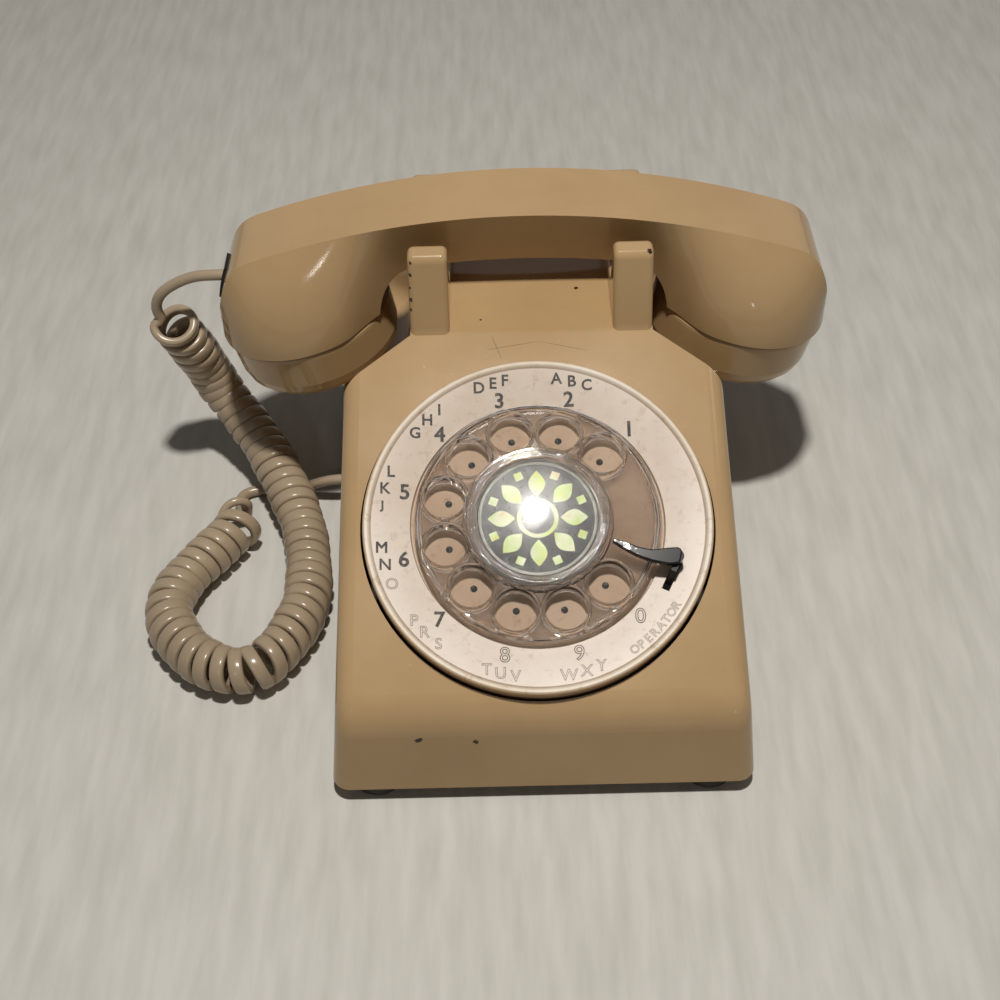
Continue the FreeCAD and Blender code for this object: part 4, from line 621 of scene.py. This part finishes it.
# The card under the dome is black with a foil rosette in pale yellow and green.
# Pointed leaves alternate with small squares, between a foil ring and a steel border.
CARD_TOP, FOIL_LIFT = 6.6, 0.03
LEAF_STEPS, WASHER_SIDES = 9, 96
card_black, tree, shader = new_finish("card_black", paint(22, 22, 26), 0.2)
# The pale spots in the card's colour are painted glints on its crinkles.
crinkle = node(tree, "ShaderNodeTexVoronoi", {"Vector": object_place(tree), "Scale": 700.0})
glints = ramp(tree, crinkle.outputs["Distance"],
              [(0.0, paint(92, 90, 88)), (0.12, paint(34, 33, 34)), (0.4, paint(18, 18, 22))])
tree.links.new(glints, shader.inputs["Base Color"])
dress(card_black, "centre_card")
foil, tree, shader = new_finish("foil", paint(204, 206, 158), 0.34, metallic=0.35)
shift = noise(tree, object_place(tree), scale=150.0, detail=3.0)
shimmer = ramp(tree, shift, [(0.30, paint(206, 198, 112)), (0.45, paint(190, 208, 146)),
                             (0.6, paint(214, 216, 190)), (0.75, paint(206, 186, 140))])
tree.links.new(shimmer, shader.inputs["Base Color"])


def leaf(length, width):
    # two mirrored arcs that meet in a point at each end
    edge = [(-length / 2 + length * k / LEAF_STEPS, width / 2 * math.sin(math.pi * k / LEAF_STEPS))
            for k in range(LEAF_STEPS)]
    points = edge + [(-x, -y) for x, y in edge]
    return points, [tuple(reversed(range(len(points))))]


def square(side):
    h = side / 2
    return [(-h, -h), (h, -h), (h, h), (-h, h)], [(0, 1, 2, 3)]


def washer(outer, inner):
    points, faces = [], []
    for k in range(WASHER_SIDES):
        a = math.tau * k / WASHER_SIDES
        points += [(radius * math.cos(a), radius * math.sin(a)) for radius in (outer, inner)]
        n = (k + 1) % WASHER_SIDES
        faces.append((2 * k, 2 * n, 2 * n + 1, 2 * k + 1))
    return points, faces


ROSETTE = (("foil_leaves", 8, 11.6, 0.0, leaf(8.8, 5.4), foil),
           ("foil_squares", 8, 15.2, math.pi / 8, square(2.6), foil),
           ("foil_ring", 1, 0.0, 0.0, washer(6.6, 5.3), foil),
           ("foil_border", 1, 0.0, 0.0, washer(19.2, 18.1), steel))
for name, count, radius, first, shape, finish in ROSETTE:
    made = ring_pattern(name, count, math.tau / count, radius / 1000, first,
                        (CARD_TOP + FOIL_LIFT) / 1000, small_part(name + "_part", *shape), finish)
    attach(made, "dial_wheel")

# The handset cord is one tan vinyl wire, wound into a spring apart from its two straight ends.
# It leaves the handset's left end, hangs down to the floor, loops and enters the housing's left side.
CORD_D = 4.0
ROUTE = [(-105.4, 49.3, 93.0), (-108.4, 49.3, 93.0), (-111.4, 49.3, 93.0), (-119.6, 49.6, 92.6),
         (-127.6, 50.0, 89.0), (-133.4, 50.2, 84.6), (-136.0, 50.4, 79.2), (-135.6, 50.6, 74.0),
         (-132.0, 51.0, 68.0), (-129.4, 52.8, 61.4), (-127.0, 55.6, 52.6), (-124.6, 59.6, 41.0),
         (-121.0, 59.2, 30.0), (-112.4, 51.6, 21.2), (-103.6, 41.0, 15.0), (-97.0, 29.0, 11.8),
         (-90.8, 16.0, 9.0), (-86.4, 5.0, 7.2), (-83.6, -8.7, 6.8), (-82.2, -22.1, 6.8),
         (-82.0, -33.5, 6.8), (-85.1, -44.6, 6.8), (-89.5, -53.9, 6.8), (-95.0, -61.2, 6.8),
         (-102.0, -64.3, 6.8), (-110.5, -62.5, 6.8), (-119.5, -57.0, 6.8), (-127.2, -47.4, 6.8),
         (-131.6, -37.6, 6.8), (-131.2, -29.0, 6.8), (-127.4, -19.6, 6.8), (-121.5, -11.0, 6.8),
         (-115.0, -1.6, 6.8), (-110.4, 5.8, 6.8), (-108.4, 12.2, 6.6), (-111.0, 18.6, 3.8),
         (-114.2, 24.4, 2.3), (-112.4, 29.6, 2.2), (-106.0, 31.6, 2.2), (-97.0, 31.4, 2.4),
         (-89.0, 29.4, 4.8), (-82.0, 27.6, 9.4), (-76.0, 27.0, 11.2), (-70.0, 27.0, 11.2),
         (-62.6, 27.0, 11.2)]
curve = bpy.data.curves.new("route", "CURVE")
curve.dimensions = "3D"
curve.resolution_u = 24
spline = curve.splines.new("NURBS")
spline.points.add(len(ROUTE) - 1)
for point, place in zip(spline.points, ROUTE):
    point.co = (*at(*place), 1.0)
spline.order_u = 3
spline.use_endpoint_u = True
holder = bpy.data.objects.new("route", curve)
scene.collection.objects.link(holder)
bpy.context.view_layer.update()
line_mesh = bpy.data.meshes.new_from_object(holder.evaluated_get(bpy.context.evaluated_depsgraph_get()))
route = [v.co.copy() for v in line_mesh.vertices]
bpy.data.objects.remove(holder)
bpy.data.meshes.remove(line_mesh)


def walk(points, step):
    # the same line with points at even distances
    out, left = [points[0].copy()], step
    for a, b in zip(points, points[1:]):
        length = (b - a).length
        done = 0.0
        while length - done >= left > 0:
            done += left
            out.append(a.lerp(b, done / length))
            left = step
        left -= length - done
    return out


STEP = 0.0001
line = walk(route, STEP)
side = Vector((0, 0, 1))
sides_of_line = []
for k in range(len(line)):
    ahead = (line[min(k + 2, len(line) - 1)] - line[max(k - 2, 0)]).normalized()
    side = (side - ahead * side.dot(ahead)).normalized()
    sides_of_line.append((side.copy(), ahead.cross(side), ahead))


def nearest(place):
    return min(range(len(line)), key=lambda k: (line[k] - place).length)


def ease(value):
    value = max(0.0, min(1.0, value))
    return value * value * (3 - 2 * value)


# The turns are even, and at both ends of the spring they open into wider rings, tipped to the front.
# Half way along they change from left-handed to right-handed, as such cords do after long use.
# The vinyl is a little flattened in the turns, and the spring rests on the floor with its lowest side.
COIL_R, COIL_PITCH, COIL_LIFT = 7.0, 5.4, 0.0023
GROW_RUN, BEGIN_EARLY, BEGIN_RUN, TURN_BACK_RUN = 0.008, 0.0005, 0.005, 0.007
TOP_RINGS, LAST_RINGS, RINGS_FULL = 0.016, 0.010, 1.15
TIPPED, TIP_SHARE = Vector((-0.15, 0.72, -0.66)).normalized(), 0.75
LOOSE_WIDER, LOOSE_PITCH, LOOSE_LIFT = 0.08, 0.35, 0.0008
WAVE, QUICK_WAVE, SLOW_WAVE = 0.03, 310, 97
FLAT_WIDE, FLAT_HIGH, FLAT_CORNERS = 5.0, 3.1, 0.4
RING_STEP, SIDES = 0.0009, 16
coil_start, coil_end = nearest(at(-133.6, 50.8, 70.4)), nearest(at(-109.2, 11.5, 6.5))
turn_back = nearest(at(-95.0, -61.2, 6.8))
phase = 0.0
centres, outwards, squeezed = [], [], []
for k, point in enumerate(line):
    u, v, ahead = sides_of_line[k]
    run = k * STEP
    from_start, to_end = (k - coil_start) * STEP, (coil_end - k) * STEP
    from_ends = min(from_start, to_end)
    grow = ease((from_ends + GROW_RUN / 2) / GROW_RUN)
    loose = max(ease(RINGS_FULL - from_start / TOP_RINGS), ease(RINGS_FULL - to_end / LAST_RINGS))
    axis = ahead.lerp(TIPPED, TIP_SHARE * loose).normalized()
    u = (u - axis * u.dot(axis)).normalized()
    v = axis.cross(u)
    wave = 1 + WAVE * math.sin(run * QUICK_WAVE) + WAVE * math.sin(run * SLOW_WAVE + 1.0)
    radius = COIL_R / 1000 * grow * (wave + LOOSE_WIDER * loose)
    begun = ease((from_ends + BEGIN_EARLY) / BEGIN_RUN)
    hand = 2 * ease((k - turn_back) * STEP / TURN_BACK_RUN + 0.5) - 1
    phase += hand * math.tau * STEP / (COIL_PITCH / 1000 * (1 + LOOSE_PITCH * loose)) * begun
    out = u * math.cos(phase) + v * math.sin(phase)
    centre = point + out * radius + Vector((0, 0, COIL_LIFT + LOOSE_LIFT * loose)) * grow
    if not centres or (centre - centres[-1]).length >= RING_STEP:
        centres.append(centre)
        outwards.append(out)
        squeezed.append(grow)
points, faces = [], []
for k, centre in enumerate(centres):
    ahead = (centres[min(k + 1, len(centres) - 1)] - centres[max(k - 1, 0)]).normalized()
    across = (outwards[k] - ahead * outwards[k].dot(ahead)).normalized()
    other = ahead.cross(across)
    high_half = (CORD_D + (FLAT_HIGH - CORD_D) * squeezed[k]) / 2000
    wide_half = (CORD_D + (FLAT_WIDE - CORD_D) * squeezed[k]) / 2000
    power = 1 - FLAT_CORNERS * squeezed[k]
    for j in range(SIDES):
        a = math.tau * j / SIDES
        up_part = math.copysign(abs(math.cos(a)) ** power, math.cos(a))
        wide_part = math.copysign(abs(math.sin(a)) ** power, math.sin(a))
        points.append(centre + across * (high_half * up_part) + other * (wide_half * wide_part))
for k in range(len(centres) - 1):
    for j in range(SIDES):
        n = (j + 1) % SIDES
        faces.append((k * SIDES + j, k * SIDES + n, (k + 1) * SIDES + n, (k + 1) * SIDES + j))
faces.append(tuple(reversed(range(SIDES))))
faces.append(tuple((len(centres) - 1) * SIDES + j for j in range(SIDES)))
mesh = bpy.data.meshes.new("curly_cord")
mesh.from_pydata(points, [], faces)
vinyl = moulded("tan_vinyl", paint(168, 150, 126), paint(154, 137, 114), 0.24, scratch=0.05)
curly_cord = mesh_object("curly_cord", mesh, vinyl)
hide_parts("cord_tail_handset", "cord_coil", "cord_tail_base")
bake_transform(curly_cord)
